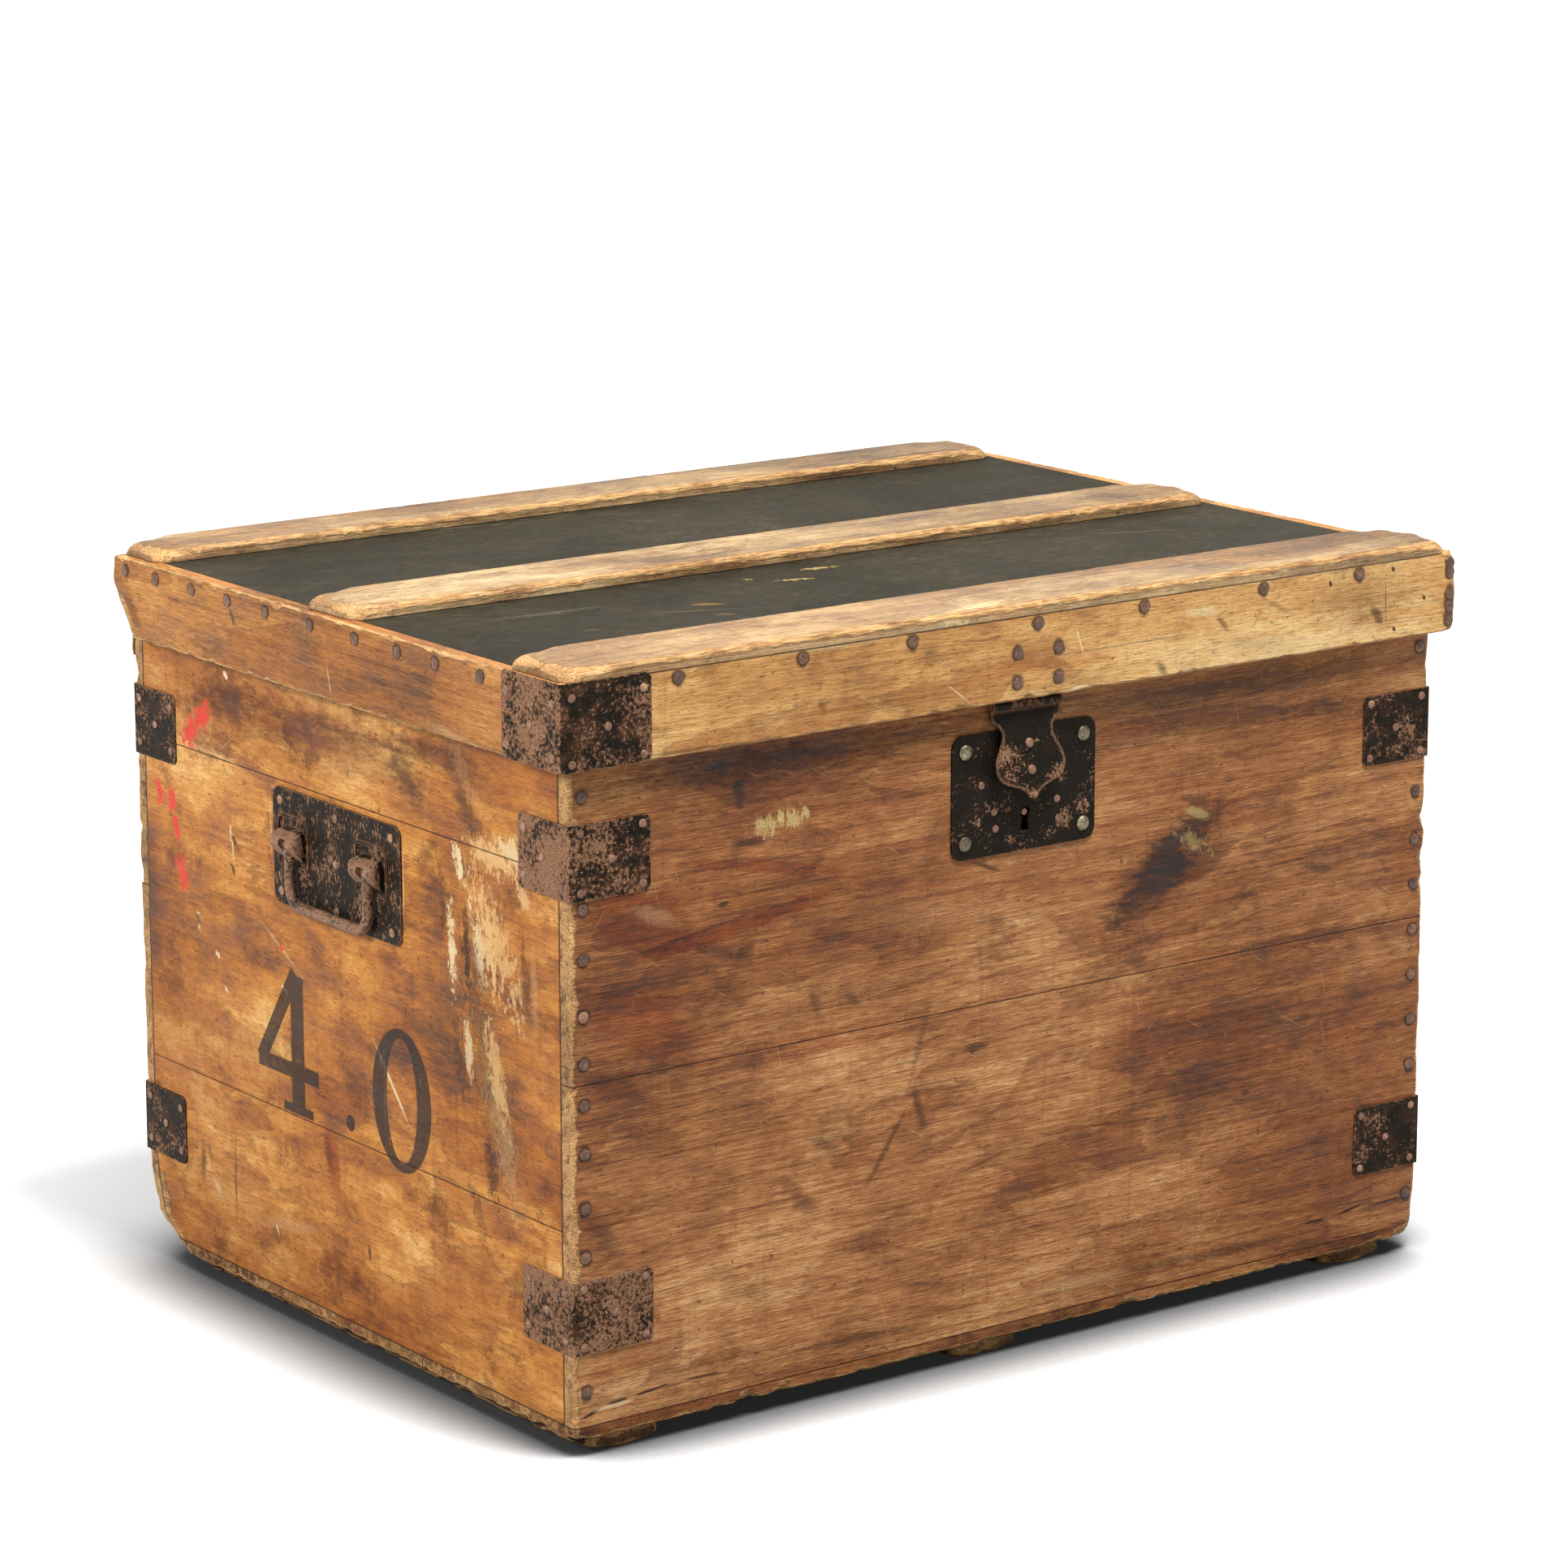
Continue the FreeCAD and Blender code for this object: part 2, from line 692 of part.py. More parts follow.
def make_bolt(near):
    # A sliding plate: a finger that enters the hasp's staple, and a tail over the keyhole.
    y0 = near + bolt_gap
    y1 = y0 + bolt_thick
    body_left, body_right = bolt_body_ends()
    top = bolt_finger_z() + bolt_finger_height / 2
    mid = bolt_finger_z() - bolt_finger_height / 2
    low = mid - bolt_body_height
    finger = box(bolt_tip_x(), body_right, y0, y1, mid, top)
    body = box(body_left, body_right, y0, y1, low, mid)
    tail = box(body_left - bolt_tail_length, body_right, y0, y1, low - bolt_tail_height, low)
    talon = box(key_x - bolt_talon / 2, key_x + bolt_talon / 2, y0 - overrun, y1 + overrun,
                low - bolt_tail_height, low - bolt_tail_height + bolt_talon_deep)
    plate = finger.fuse([body, tail]).removeSplitter().cut(talon)
    slots = []
    reach = guide_radius + guide_gap
    for x in guide_places():
        z = bolt_guide_z()
        slots.append(box(x, x + bolt_travel, y0 - overrun, y1 + overrun, z - reach, z + reach))
        slots.append(rod(V(x, y0 - overrun, z), Y_AXIS, reach, overrun * 2))
        slots.append(rod(V(x + bolt_travel, y0 - overrun, z), Y_AXIS, reach, overrun * 2))
    export("lock_bolt", plate.cut(slots))
    make_spring(y0, top, body_right)


def make_spring(y0, top, right):
    # A flat steel spring, bent over the bolt's upper edge and let into the box's top.
    roof = lock_mid_z + lock_box_height / 2 - lock_box_wall
    gap = bolt_gap
    foot = box(right - spring_lift, right, y0, y0 + spring_width, top + gap,
               top + gap + spring_thick)
    riser = box(right - spring_thick, right, y0, y0 + spring_width, top + gap, roof)
    export("bolt_spring", foot.fuse(riser).removeSplitter())


def hasp_barrel(x0, x1):
    start = V(x0, hasp_y, hasp_z)
    return rod(start, X_AXIS, hasp_knuckle_radius, x1 - x0)


def hasp_bore():
    start = V(hasp_shift - overrun, hasp_y, hasp_z)
    return rod(start, X_AXIS, hasp_pin_radius + pin_play, overrun * 2)


def make_hasp_leaf():
    half = hasp_leaf_length / 2
    middle = hasp_middle_length / 2
    y0 = rim_inner_front_y
    y1 = y0 + hasp_leaf_thick
    leaf_x = hasp_shift + hasp_leaf_shift
    plate = box(leaf_x - half, leaf_x + half, y0, y1, rim_low_z,
                rim_low_z + hasp_leaf_height)
    neck = box(hasp_shift - middle, hasp_shift + middle, y0, y1, hasp_z, rim_low_z)
    leaf = plate.fuse([neck, hasp_barrel(hasp_shift - middle, hasp_shift + middle)])
    for sx in (-1, 1):
        for row in (0, 1):
            along = hasp_shift + hasp_nail_shift + sx * hasp_nail_spread_x / 2
            height = rim_low_z + hasp_nail_low + row * hasp_nail_spread_z
            hasp_nails.put(place_on("front", along, height, rim_out_front))
    leaf = leaf.removeSplitter().cut(hasp_bore())
    export("hasp_leaf", drilled(leaf, [hasp_nails]))
    export("hasp_nails", hasp_nails.solids)


def shield_face():
    # The shield's outline as drawn when closed: shoulders, neck, wide body, ogee and tip.
    def point(half, share):
        return V(half, 0, -hasp_length * share)
    shoulder = point(hasp_shoulder_half, hasp_shoulder_share)
    neck = point(hasp_neck_half, hasp_neck_share)
    wide = point(hasp_shield_half, hasp_wide_share)
    belly = point(hasp_shield_half * hasp_belly_half_share, hasp_belly_share)
    lower = point(hasp_shield_half * hasp_lower_half_share, hasp_lower_share)
    ogee = point(hasp_shield_half * hasp_ogee_half_share, hasp_ogee_share)
    tip = point(hasp_shield_half * hasp_tip_half_share, 1)
    curve = Part.BSplineCurve()
    curve.interpolate([shoulder, neck, wide, belly, lower, ogee, tip])
    right = curve.toShape()
    left = right.mirror(HERE, X_AXIS)
    top_right = V(hasp_shoulder_half, 0, 0)
    top_left = V(-hasp_shoulder_half, 0, 0)
    mirrored_shoulder = V(-shoulder.x, 0, shoulder.z)
    mirrored_tip = V(-tip.x, 0, tip.z)
    edges = [Part.makeLine(top_left, top_right), Part.makeLine(top_right, shoulder), right,
             Part.makeLine(tip, mirrored_tip), left, Part.makeLine(mirrored_shoulder, top_left)]
    return Part.Face(Part.Wire(Part.__sortEdges__(edges)))


def swung_out(shape):
    copy = shape.copy()
    copy.rotate(V(0, hasp_y, hasp_z), X_AXIS, -hasp_out_angle)
    return copy


def make_hasp():
    shield = shield_face().extrude(V(0, hasp_thick, 0))
    shield.translate(V(hasp_shift, hasp_back_y - hasp_thick, hasp_z))
    half = hasp_knuckle_length / 2
    middle = hasp_middle_length / 2 + hasp_knuckle_gap
    ends = [hasp_barrel(hasp_shift - half, hasp_shift - middle),
            hasp_barrel(hasp_shift + middle, hasp_shift + half)]
    room = hasp_knuckle_radius + hasp_knuckle_gap
    gap = box(hasp_shift - middle, hasp_shift + middle, hasp_y - room, hasp_y + room,
              hasp_z - room, hasp_z + room)
    lip = Part.makeSphere(hasp_lip_radius, V(hasp_shift, hasp_back_y - hasp_thick,
                                             hasp_z - hasp_length + hasp_lip_radius / 2))
    behind = box(hasp_shift - overrun, hasp_shift + overrun, hasp_back_y, hasp_back_y + overrun,
                 hasp_z - hasp_length - overrun, hasp_z - hasp_length / 2)
    lip = lip.cut(behind)
    shield = shield.cut(gap).fuse(ends + [lip]).cut(hasp_bore())
    rivets = [staple_top + staple_rivet_inset, staple_low - staple_rivet_inset]
    holes = [rod(V(hasp_shift, hasp_back_y - overrun, hasp_z - down), Y_AXIS,
                 staple_shank + pin_play, overrun * 2) for down in rivets]
    export("hasp_shield", swung_out(shield.cut(holes)))
    make_staple(rivets)
    start = V(hasp_shift - half, hasp_y, hasp_z)
    export("hasp_pin", swung_out(rod(start, X_AXIS, hasp_pin_radius, hasp_knuckle_length)))


def make_staple(rivets):
    # A flat loop behind the shield that the bolt enters, riveted through the shield.
    def side_view(top, low, top_deep, low_deep, start):
        points = [V(0, start, -top), V(0, top_deep, -top), V(0, low_deep, -low),
                  V(0, start, -low)]
        return Part.Face(Part.makePolygon(points + [points[0]]))
    outer = side_view(staple_top, staple_low, staple_top_deep, staple_low_deep, 0)
    eye = side_view(staple_top + staple_top_bar, staple_low - staple_low_bar,
                    staple_top_deep - staple_top_skin, staple_low_deep - staple_low_skin,
                    -overrun)
    loop = outer.cut(eye).extrude(V(staple_thick, 0, 0))
    loop.translate(V(hasp_shift - staple_thick / 2, hasp_back_y, hasp_z))
    pieces = []
    head = turned_fastener(staple_rivet_radius, staple_rivet_high, staple_shank, hasp_thick)
    for down in rivets:
        spot = V(hasp_shift, hasp_back_y - hasp_thick, hasp_z - down)
        pieces.append(placed(head, FreeCAD.Placement(spot, FreeCAD.Rotation(X_AXIS, 90))))
    export("hasp_staple", swung_out(loop.fuse(pieces)))


def handle_plate():
    # The pressed plate of a drop handle with its two hoods, drawn flat with +Z outward.
    plate = rounded_plate(handle_plate_length, handle_plate_height, handle_plate_thick,
                          handle_plate_corner)
    parts = []
    cuts = []
    for side in (-1, 1):
        u = side * bail_half_span + bail_shift
        parts.append(hood(u + hood_shift))
        outer = rounded_plate(frame_length, frame_height, frame_bead_high, frame_corner)
        inner = rounded_plate(frame_length - frame_bead * 2, frame_height - frame_bead * 2,
                              frame_bead_high * 2, frame_corner - frame_bead)
        bead = outer.cut(inner)
        bead.translate(V(u + hood_shift, bail_pivot_up, handle_plate_thick))
        parts.append(bead)
        room = bail_arm_radius + hood_slot_gap
        cuts.append(box(u - room, u + room, -handle_plate_height / 2, bail_pivot_up + room,
                        handle_plate_thick, overrun))
        cuts.append(rod(V(u - bail_pin_half - hood_slot_gap, bail_pivot_up, bail_out), X_AXIS,
                        bail_pin_radius + pin_play, (bail_pin_half + hood_slot_gap) * 2))
    return plate.fuse(parts).removeSplitter().cut(cuts)


def hood(u):
    # A rounded cover that keeps a bail's cross pin on the plate. Its roof leaves the
    # plate as a slope that meets the round part in a tangent, and its mouth is cut back
    # from the nose to the plate.
    centre = V(0, bail_pivot_up, bail_out)
    top = V(0, bail_pivot_up + hood_top, handle_plate_thick)
    reach = top - centre
    lean = math.atan2(reach.z, reach.y) + math.acos(hood_radius / reach.Length)
    half_way = (lean + math.pi / 2) / 2
    crown = centre + V(0, math.cos(lean), math.sin(lean)) * hood_radius
    brow = centre + V(0, math.cos(half_way), math.sin(half_way)) * hood_radius
    nose = centre + V(0, 0, hood_radius)
    heel = V(0, bail_pivot_up - hood_foot, handle_plate_thick)
    edges = [Part.makeLine(top, crown), Part.Arc(crown, brow, nose).toShape(),
             Part.makeLine(nose, heel), Part.makeLine(heel, top)]
    cover = Part.Face(Part.Wire(edges)).extrude(V(hood_half * 2, 0, 0))
    outline = box(0, hood_half * 2, heel.y, top.y, 0, nose.z)
    shoulders = straight_edges(outline, Z_AXIS, lambda p: p.y > centre.y)
    cover = cover.common(outline.makeFillet(hood_round, shoulders))
    ends = straight_edges(outline, Y_AXIS, lambda p: p.z > centre.z)
    cover = cover.common(outline.makeFillet(hood_end_round, ends))
    cover.translate(V(u - hood_half, 0, 0))
    return cover


def bail():
    # A round bar bent to a flat-bottomed U, hanging from two cross pins.
    r = bail_bend
    half = bail_half_span
    low = bail_pivot_up - bail_drop
    quarter = math.sqrt(0.5)
    path = [Part.makeLine(V(-half, bail_pivot_up, bail_out), V(-half, low + r, bail_out)),
            Part.Arc(V(-half, low + r, bail_out),
                     V(-half + r - r * quarter, low + r - r * quarter, bail_out),
                     V(-half + r, low, bail_out)).toShape(),
            Part.makeLine(V(-half + r, low, bail_out), V(half - r, low, bail_out)),
            Part.Arc(V(half - r, low, bail_out),
                     V(half - r + r * quarter, low + r - r * quarter, bail_out),
                     V(half, low + r, bail_out)).toShape(),
            Part.makeLine(V(half, low + r, bail_out), V(half, bail_pivot_up, bail_out))]
    circle = Part.makeCircle(bail_arm_radius, V(-half, bail_pivot_up, bail_out), Y_AXIS)
    bar = Part.Wire(path).makePipeShell([Part.Wire(circle)], True, False)
    if bar.Volume < 0:
        bar.reverse()
    pins = []
    for side in (-1, 1):
        start = V(side * half - bail_pin_half, bail_pivot_up, bail_out)
        pins.append(rod(start, X_AXIS, bail_pin_radius, bail_pin_half * 2))
        pins.append(Part.makeSphere(bail_arm_radius, V(side * half, bail_pivot_up, bail_out)))
    ring = bar.fuse(pins)
    ring.translate(V(bail_shift, 0, 0))
    return ring


def lay_out_handle_rivets():
    for side in ("left", "right"):
        shift = -handle_shift if side == "left" else handle_shift
        for across, up in handle_rivets_share:
            along = shift + handle_plate_length * across
            height = handle_plate_z + handle_plate_height * up
            handle_rivets.put(place_on(side, along, height, handle_plate_thick))


def make_handles():
    plate = handle_plate()
    ring = bail()
    for side in ("left", "right"):
        shift = -handle_shift if side == "left" else handle_shift
        spot = place_on(side, shift, handle_plate_z, 0)
        export(side + "_handle_plate", drilled(placed(plate, spot), [handle_rivets]))
        export(side + "_bail", placed(ring, spot))
    export("handle_rivets", handle_rivets.solids)


def slotted_screw():
    # A flush round head with a driving slot, the head's top at z = 0.
    head = rod(V(0, 0, -screw_head_deep), Z_AXIS, screw_head_radius, screw_head_deep)
    shank = rod(V(0, 0, -screw_head_deep - screw_long), Z_AXIS, screw_radius, screw_long)
    slot = box(-screw_head_radius * 2, screw_head_radius * 2, -screw_slot / 2, screw_slot / 2,
               -screw_head_deep / 2, overrun)
    return head.fuse(shank).removeSplitter().cut(slot)


def screw_kind():
    kind = Fasteners(slotted_screw(), screw_radius + hole_gap,
                     screw_long + screw_head_deep + hole_gap)
    head_room = rod(V(0, 0, -screw_head_deep - hole_gap), Z_AXIS,
                    screw_head_radius + hole_gap, screw_head_deep + overrun)
    kind.hole = kind.hole.fuse(head_room)
    return kind


hinge_case_screws = screw_kind()
hinge_lid_screws = screw_kind()


def hinge_middles():
    return [case_length * hinge_spread_share * side for side in (-1, 1)]


def lay_out_hinge_screws():
    up = FreeCAD.Rotation(X_AXIS, 180)
    for middle in hinge_middles():
        for share in screw_places_share:
            x = middle + hinge_length * share
            row_share = side_screw_share if share else middle_screw_share
            z = hinge_z - hinge_knuckle_radius - hinge_case_leaf_height * row_share
            hinge_case_screws.put(place_on("back", -x, z, rail_thick + hinge_leaf_thick))
            inward = hinge_lid_leaf_depth * row_share
            spot = V(x, rail_back_y - inward, top_under_z)
            hinge_lid_screws.put(FreeCAD.Placement(spot, up))


def barrel_lengths(middle):
    half = hinge_length / 2
    inner = hinge_length * hinge_middle_share / 2
    outer = inner + hinge_side_gap
    lid_part = [(middle - inner, middle + inner)]
    case_part = [(middle - half, middle - outer), (middle + outer, middle + half)]
    return lid_part, case_part


def make_hinges():
    case_leaves = []
    lid_leaves = []
    pins = []
    for middle in hinge_middles():
        lid_part, case_part = barrel_lengths(middle)
        half = hinge_length / 2
        bore = rod(V(middle - overrun, hinge_y, hinge_z), X_AXIS, hinge_pin_radius + pin_play,
                   overrun * 2)
        y0 = rail_back_y
        y1 = y0 + hinge_leaf_thick
        low = hinge_z - hinge_knuckle_radius - hinge_face_gap
        leaf = box(middle - half, middle + half, y0, y1, low - hinge_case_leaf_height, low)
        pieces = []
        for x0, x1 in case_part:
            pieces.append(box(x0, x1, y0, y1, low, hinge_z))
            pieces.append(box(x0, x1, y1, hinge_y, hinge_z - hinge_leaf_thick, hinge_z))
            pieces.append(rod(V(x0, hinge_y, hinge_z), X_AXIS, hinge_knuckle_radius, x1 - x0))
        leaf = leaf.fuse(pieces).removeSplitter().cut(bore)
        case_leaves.append(drilled(leaf, [hinge_case_screws]))
        z0 = top_under_z
        z1 = z0 + hinge_leaf_thick
        leaf = box(middle - half, middle + half, lid_back_y - hinge_lid_leaf_depth, lid_back_y,
                   z0, z1)
        pieces = []
        for x0, x1 in lid_part:
            pieces.append(box(x0, x1, lid_back_y, hinge_y, z0, z1))
            pieces.append(rod(V(x0, hinge_y, hinge_z), X_AXIS, hinge_knuckle_radius, x1 - x0))
            reach = hinge_knuckle_radius + hinge_stop_length
            pieces.append(box(x0, x1, hinge_y, hinge_y + reach, hinge_z - hinge_stop_low,
                              hinge_z - hinge_stop_low + hinge_stop_thick))
        leaf = leaf.fuse(pieces).removeSplitter().cut(bore)
        lid_leaves.append(drilled(leaf, [hinge_lid_screws]))
        pins.append(rod(V(middle - half, hinge_y, hinge_z), X_AXIS, hinge_pin_radius,
                        hinge_length))
    export("hinge_case_leaves", case_leaves)
    export("hinge_lid_leaves", lid_leaves)
    export("hinge_pins", pins)
    export("hinge_case_screws", hinge_case_screws.solids)
    export("hinge_lid_screws", hinge_lid_screws.solids)


def hinge_recesses():
    # Shallow seats under the lid's top for the hinge leaves.
    return [box(m - hinge_length / 2 - hole_gap, m + hinge_length / 2 + hole_gap,
                lid_back_y - hinge_lid_leaf_depth - hole_gap, lid_back_y + overrun,
                top_under_z - overrun, top_under_z + hinge_leaf_thick)
            for m in hinge_middles()]


def lay_out_lid_nails():
    # One row of nails through each rim board into the edge of the lid's top.
    nail_z = top_under_z + top_thick * rim_row_share
    end_z = top_under_z + top_thick * rim_end_row_share
    for share in rim_nails_share:
        rim_nails.put(place_on("front", -rim_outer_x + rim_outer_x * 2 * share, nail_z,
                               rim_out_front))
    for share in rim_end_nails_share:
        y = rim_inner_front_y + (lid_back_y - rim_inner_front_y) * share
        rim_nails.put(place_on("left", -y, end_z, rim_out_end))
        rim_nails.put(place_on("right", y, end_z, rim_out_end))
    for share in rim_corner_nails_share:
        rim_nails.put(place_on("front", rim_outer_x - rim_end_thick / 2,
                               lid_z - rim_drop * share, rim_out_front))


def batten_rows():
    middle = front_y + middle_batten_from_front
    return [("batten_front", rim_front_y, front_batten_width, front_batten_inset,
             front_batten_inset),
            ("batten_middle", middle, middle_batten_width, batten_left_inset,
             batten_right_inset),
            ("batten_back", lid_back_y - back_batten_width, back_batten_width,
             batten_left_inset, batten_right_inset)]


def lay_out_batten_nails():
    # Nails driven up through the lid's top into each batten.
    up = FreeCAD.Rotation(X_AXIS, 180)
    for name, near, width, left_inset, right_inset in batten_rows():
        front = name == "batten_front"
        row_share = front_batten_nail_row_share if front else batten_nail_row_share
        for share in batten_nails_share:
            x = left_x + end_thick + (case_length - end_thick * 2) * share
            y = min(near + width * row_share, back_y - front_thick - tack_head_radius * 2)
            batten_nails.put(FreeCAD.Placement(V(x, y, top_under_z), up))


def rim_end_board():
    # An end rim board seen from the side: its rear lower corner is cut back to a heel.
    points = [V(0, rim_inner_front_y, rim_low_z),
              V(0, rim_inner_front_y, lid_z),
              V(0, lid_back_y - rim_heel_step, lid_z),
              V(0, lid_back_y, lid_z - rim_heel_top_drop),
              V(0, lid_back_y - rim_heel_mid, lid_z - rim_heel_mid_drop),
              V(0, lid_back_y - rim_heel_low, rim_low_z)]
    face = Part.Face(Part.makePolygon(points + [points[0]]))
    return face.extrude(V(rim_end_thick, 0, 0))


def rounded_batten(x0, x1, near, far):
    block = box(x0, x1, near, far, lid_z, lid_z + batten_height)
    corners = straight_edges(block, Z_AXIS, lambda p: True)
    block = block.makeFillet(batten_corner, corners)
    top = [e for e in block.Edges
           if abs(e.BoundBox.ZMin - lid_z - batten_height) < batten_height / 1000]
    return block.makeFillet(batten_round, top)


def make_lid():
    kinds = [rim_nails, lid_tacks, hasp_nails]
    export("lid_front_board", board(-rim_outer_x, rim_outer_x, rim_front_y, rim_inner_front_y,
                                    rim_low_z, lid_z, kinds))
    blank = rim_end_board()
    left = blank.copy()
    left.translate(V(-rim_outer_x, 0, 0))
    right = blank.copy()
    right.translate(V(rim_inner_x, 0, 0))
    export("lid_left_board", drilled(left, kinds))
    export("lid_right_board", drilled(right, kinds))
    tops = []
    width = (lid_back_y - rim_inner_front_y) / top_board_count
    for i in range(top_board_count):
        near = rim_inner_front_y + width * i
        plank = box(-rim_inner_x, rim_inner_x, near, near + width, top_under_z, canvas_z)
        plank = plank.cut(hinge_recesses())
        tops.append(drilled(plank, [rim_nails, lid_tacks, batten_nails, hinge_lid_screws]))
    export("lid_top_boards", tops)
    cloth = box(-rim_inner_x + canvas_edge_gap, rim_inner_x - canvas_edge_gap,
                rim_inner_front_y + canvas_edge_gap, lid_back_y - canvas_edge_gap,
                canvas_z, lid_z)
    export("lid_canvas", drilled(cloth, [batten_nails]))
    for name, near, width, left_inset, right_inset in batten_rows():
        batten = rounded_batten(-rim_outer_x + left_inset, rim_outer_x - right_inset, near,
                                near + width)
        export(name, drilled(batten, [batten_nails]))


lay_out_case_nails()
lay_out_rail_nails()
lay_out_base_nails()
lay_out_handle_rivets()
lay_out_hinge_screws()
lay_out_lid_nails()
lay_out_batten_nails()
skid_nail_kind = lay_out_skid_nails()
case_brackets = lay_out_case_brackets()
lid_bracket = add_bracket("lid_bracket", -1, -1, rim_low_z,
                          (lid_bracket_front_leaf, lid_bracket_end_leaf), lid_bracket_height,
                          (rim_out_end, rim_out_front), [lid_tacks])
make_hasp_leaf()
make_lock()
make_case(skid_nail_kind)
make_hasp()
make_handles()
make_hinges()
make_lid()
for bracket_name, bracket_shape in case_brackets:
    export(bracket_name, drilled(bracket_shape, [case_tacks]))
export(lid_bracket[0], drilled(lid_bracket[1], [lid_tacks]))
export("case_tacks", case_tacks.solids)
export("lid_tacks", lid_tacks.solids)
export("board_nails", board_nails.solids)
export("base_nails", base_nails.solids + skid_nail_kind.solids)
export("rim_nails", rim_nails.solids)
export("batten_nails", batten_nails.solids)
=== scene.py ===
# %% [markdown]
# # An old explorer trunk
# The trunk is a nailed box of wide boards on three skids, with a rim lid under painted canvas.
# The measured model gives every board, nail and hinge its place. This lesson gives them the
# look of a hundred years of travel: worn edges, stains, scuffed canvas and rusty black iron.

# %% Load the measured frame
import math

import bpy
import numpy as np
from mathutils import Matrix, Vector


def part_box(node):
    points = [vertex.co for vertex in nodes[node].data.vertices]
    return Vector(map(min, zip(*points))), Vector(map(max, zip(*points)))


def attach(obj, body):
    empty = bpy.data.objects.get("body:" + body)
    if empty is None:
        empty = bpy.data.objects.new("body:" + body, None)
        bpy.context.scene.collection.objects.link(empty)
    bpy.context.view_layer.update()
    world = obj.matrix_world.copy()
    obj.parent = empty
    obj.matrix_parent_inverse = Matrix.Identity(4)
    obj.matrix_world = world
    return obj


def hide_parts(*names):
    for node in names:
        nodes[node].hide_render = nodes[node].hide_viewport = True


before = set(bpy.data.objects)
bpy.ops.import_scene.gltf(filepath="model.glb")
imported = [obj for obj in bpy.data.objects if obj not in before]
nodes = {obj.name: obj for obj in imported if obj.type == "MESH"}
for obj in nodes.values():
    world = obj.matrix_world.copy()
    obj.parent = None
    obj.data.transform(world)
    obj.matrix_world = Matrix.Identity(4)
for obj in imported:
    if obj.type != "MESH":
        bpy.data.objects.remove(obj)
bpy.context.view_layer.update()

# %% [markdown]
# ## The camera
# A product photograph of a trunk is taken from a few metres with a long lens, so that the
# upright edges stay nearly parallel. The camera's place was solved from the trunk's corners.
# The same three directions later turn a point of the picture into a place on a board.

# %% Stand the camera
EYE = Vector((-2.270783, -3.068450, 1.244232))
TO_RIGHT = Vector((0.803463, -0.595354, -0.000877))
TO_FLOOR = Vector((-0.135335, -0.181207, -0.974088))
AHEAD = Vector((0.579768, 0.782763, -0.226166))
PICTURE = 1932
SENSOR_MM = 36.0
LENS_MM = 122.564
TRUNK_MIDDLE = (0.0, 0.0, 0.27)

eye_data = bpy.data.cameras.new("eye")
eye_data.lens = LENS_MM
eye_data.sensor_width = SENSOR_MM
eye_data.clip_end = 200.0
eye = bpy.data.objects.new("eye", eye_data)
bpy.context.scene.collection.objects.link(eye)
eye.matrix_world = Matrix((TO_RIGHT, -TO_FLOOR, -AHEAD)).transposed().to_4x4()
eye.location = EYE
bpy.context.scene.camera = eye
print("camera", round((EYE - Vector(TRUNK_MIDDLE)).length, 2), "m from the trunk")

# %% [markdown]
# ## Places on the boards
# Stains and scratches are where the photograph has them. Each is written as a point of the
# picture, and a line from the eye through that point meets the board's face. The faces are
# flat, so one coordinate of each is known.

# %% Turn a picture point into a place on a face
FACES = {
    "front": (1, -0.2810), "left": (0, -0.3800), "lid_front": (1, -0.2927),
    "lid_left": (0, -0.3935), "lid_top": (2, 0.5310), "plate": (1, -0.2828),
}


def place_in(face, across, down):
    axis, level = FACES[face]
    focal = LENS_MM / SENSOR_MM * PICTURE
    ray = AHEAD + (TO_RIGHT * (across - PICTURE / 2) + TO_FLOOR * (down - PICTURE / 2)) / focal
    return EYE + ray * ((level - EYE[axis]) / ray[axis])


print("lock's keyhole on the front:", [round(c, 3) for c in place_in("plate", 1262, 1003)])

# %% [markdown]
# ## Short names for the node editor
# A material is a small graph. These helpers add one node each and hand back its output, so
# that a finish can be read as a recipe: take a place, stretch it, look up a noise, mix.

# %% Helpers that build a material graph


def new_finish(name):
    material = bpy.data.materials.new(name)
    material.use_nodes = True
    material.node_tree.nodes.clear()
    return material, material.node_tree


def put(tree, kind, inputs=None, **settings):
    made = tree.nodes.new(kind)
    for key, value in settings.items():
        setattr(made, key, value)
    for key, value in (inputs or {}).items():
        if isinstance(value, bpy.types.NodeSocket):
            tree.links.new(value, made.inputs[key])
        else:
            made.inputs[key].default_value = value
    return made


def calc(tree, operation, first, second=0.0, third=0.0):
    return put(tree, "ShaderNodeMath", {0: first, 1: second, 2: third},
               operation=operation).outputs[0]


print("node helpers ready")

# %% Helpers for places, noises and colours


def stretch(tree, place, by, shift=(0, 0, 0)):
    return put(tree, "ShaderNodeVectorMath", {0: place, 1: by, 2: shift},
               operation="MULTIPLY_ADD").outputs[0]


def cloudy(tree, place, by, detail=4.0, rough=0.55, shift=(0, 0, 0)):
    return put(tree, "ShaderNodeTexNoise",
               {"Vector": stretch(tree, place, by, shift), "Scale": 1.0, "Detail": detail,
                "Roughness": rough}).outputs["Fac"]


def between(tree, value, low, high, bottom=0.0, top=1.0):
    return put(tree, "ShaderNodeMapRange",
               {"Value": value, "From Min": low, "From Max": high, "To Min": bottom,
                "To Max": top}, interpolation_type="SMOOTHSTEP").outputs[0]


def blend_colour(tree, share, under, over, mode="MIX"):
    made = put(tree, "ShaderNodeMix", {0: share, 6: under, 7: over}, data_type="RGBA",
               blend_type=mode)
    return made.outputs[2]


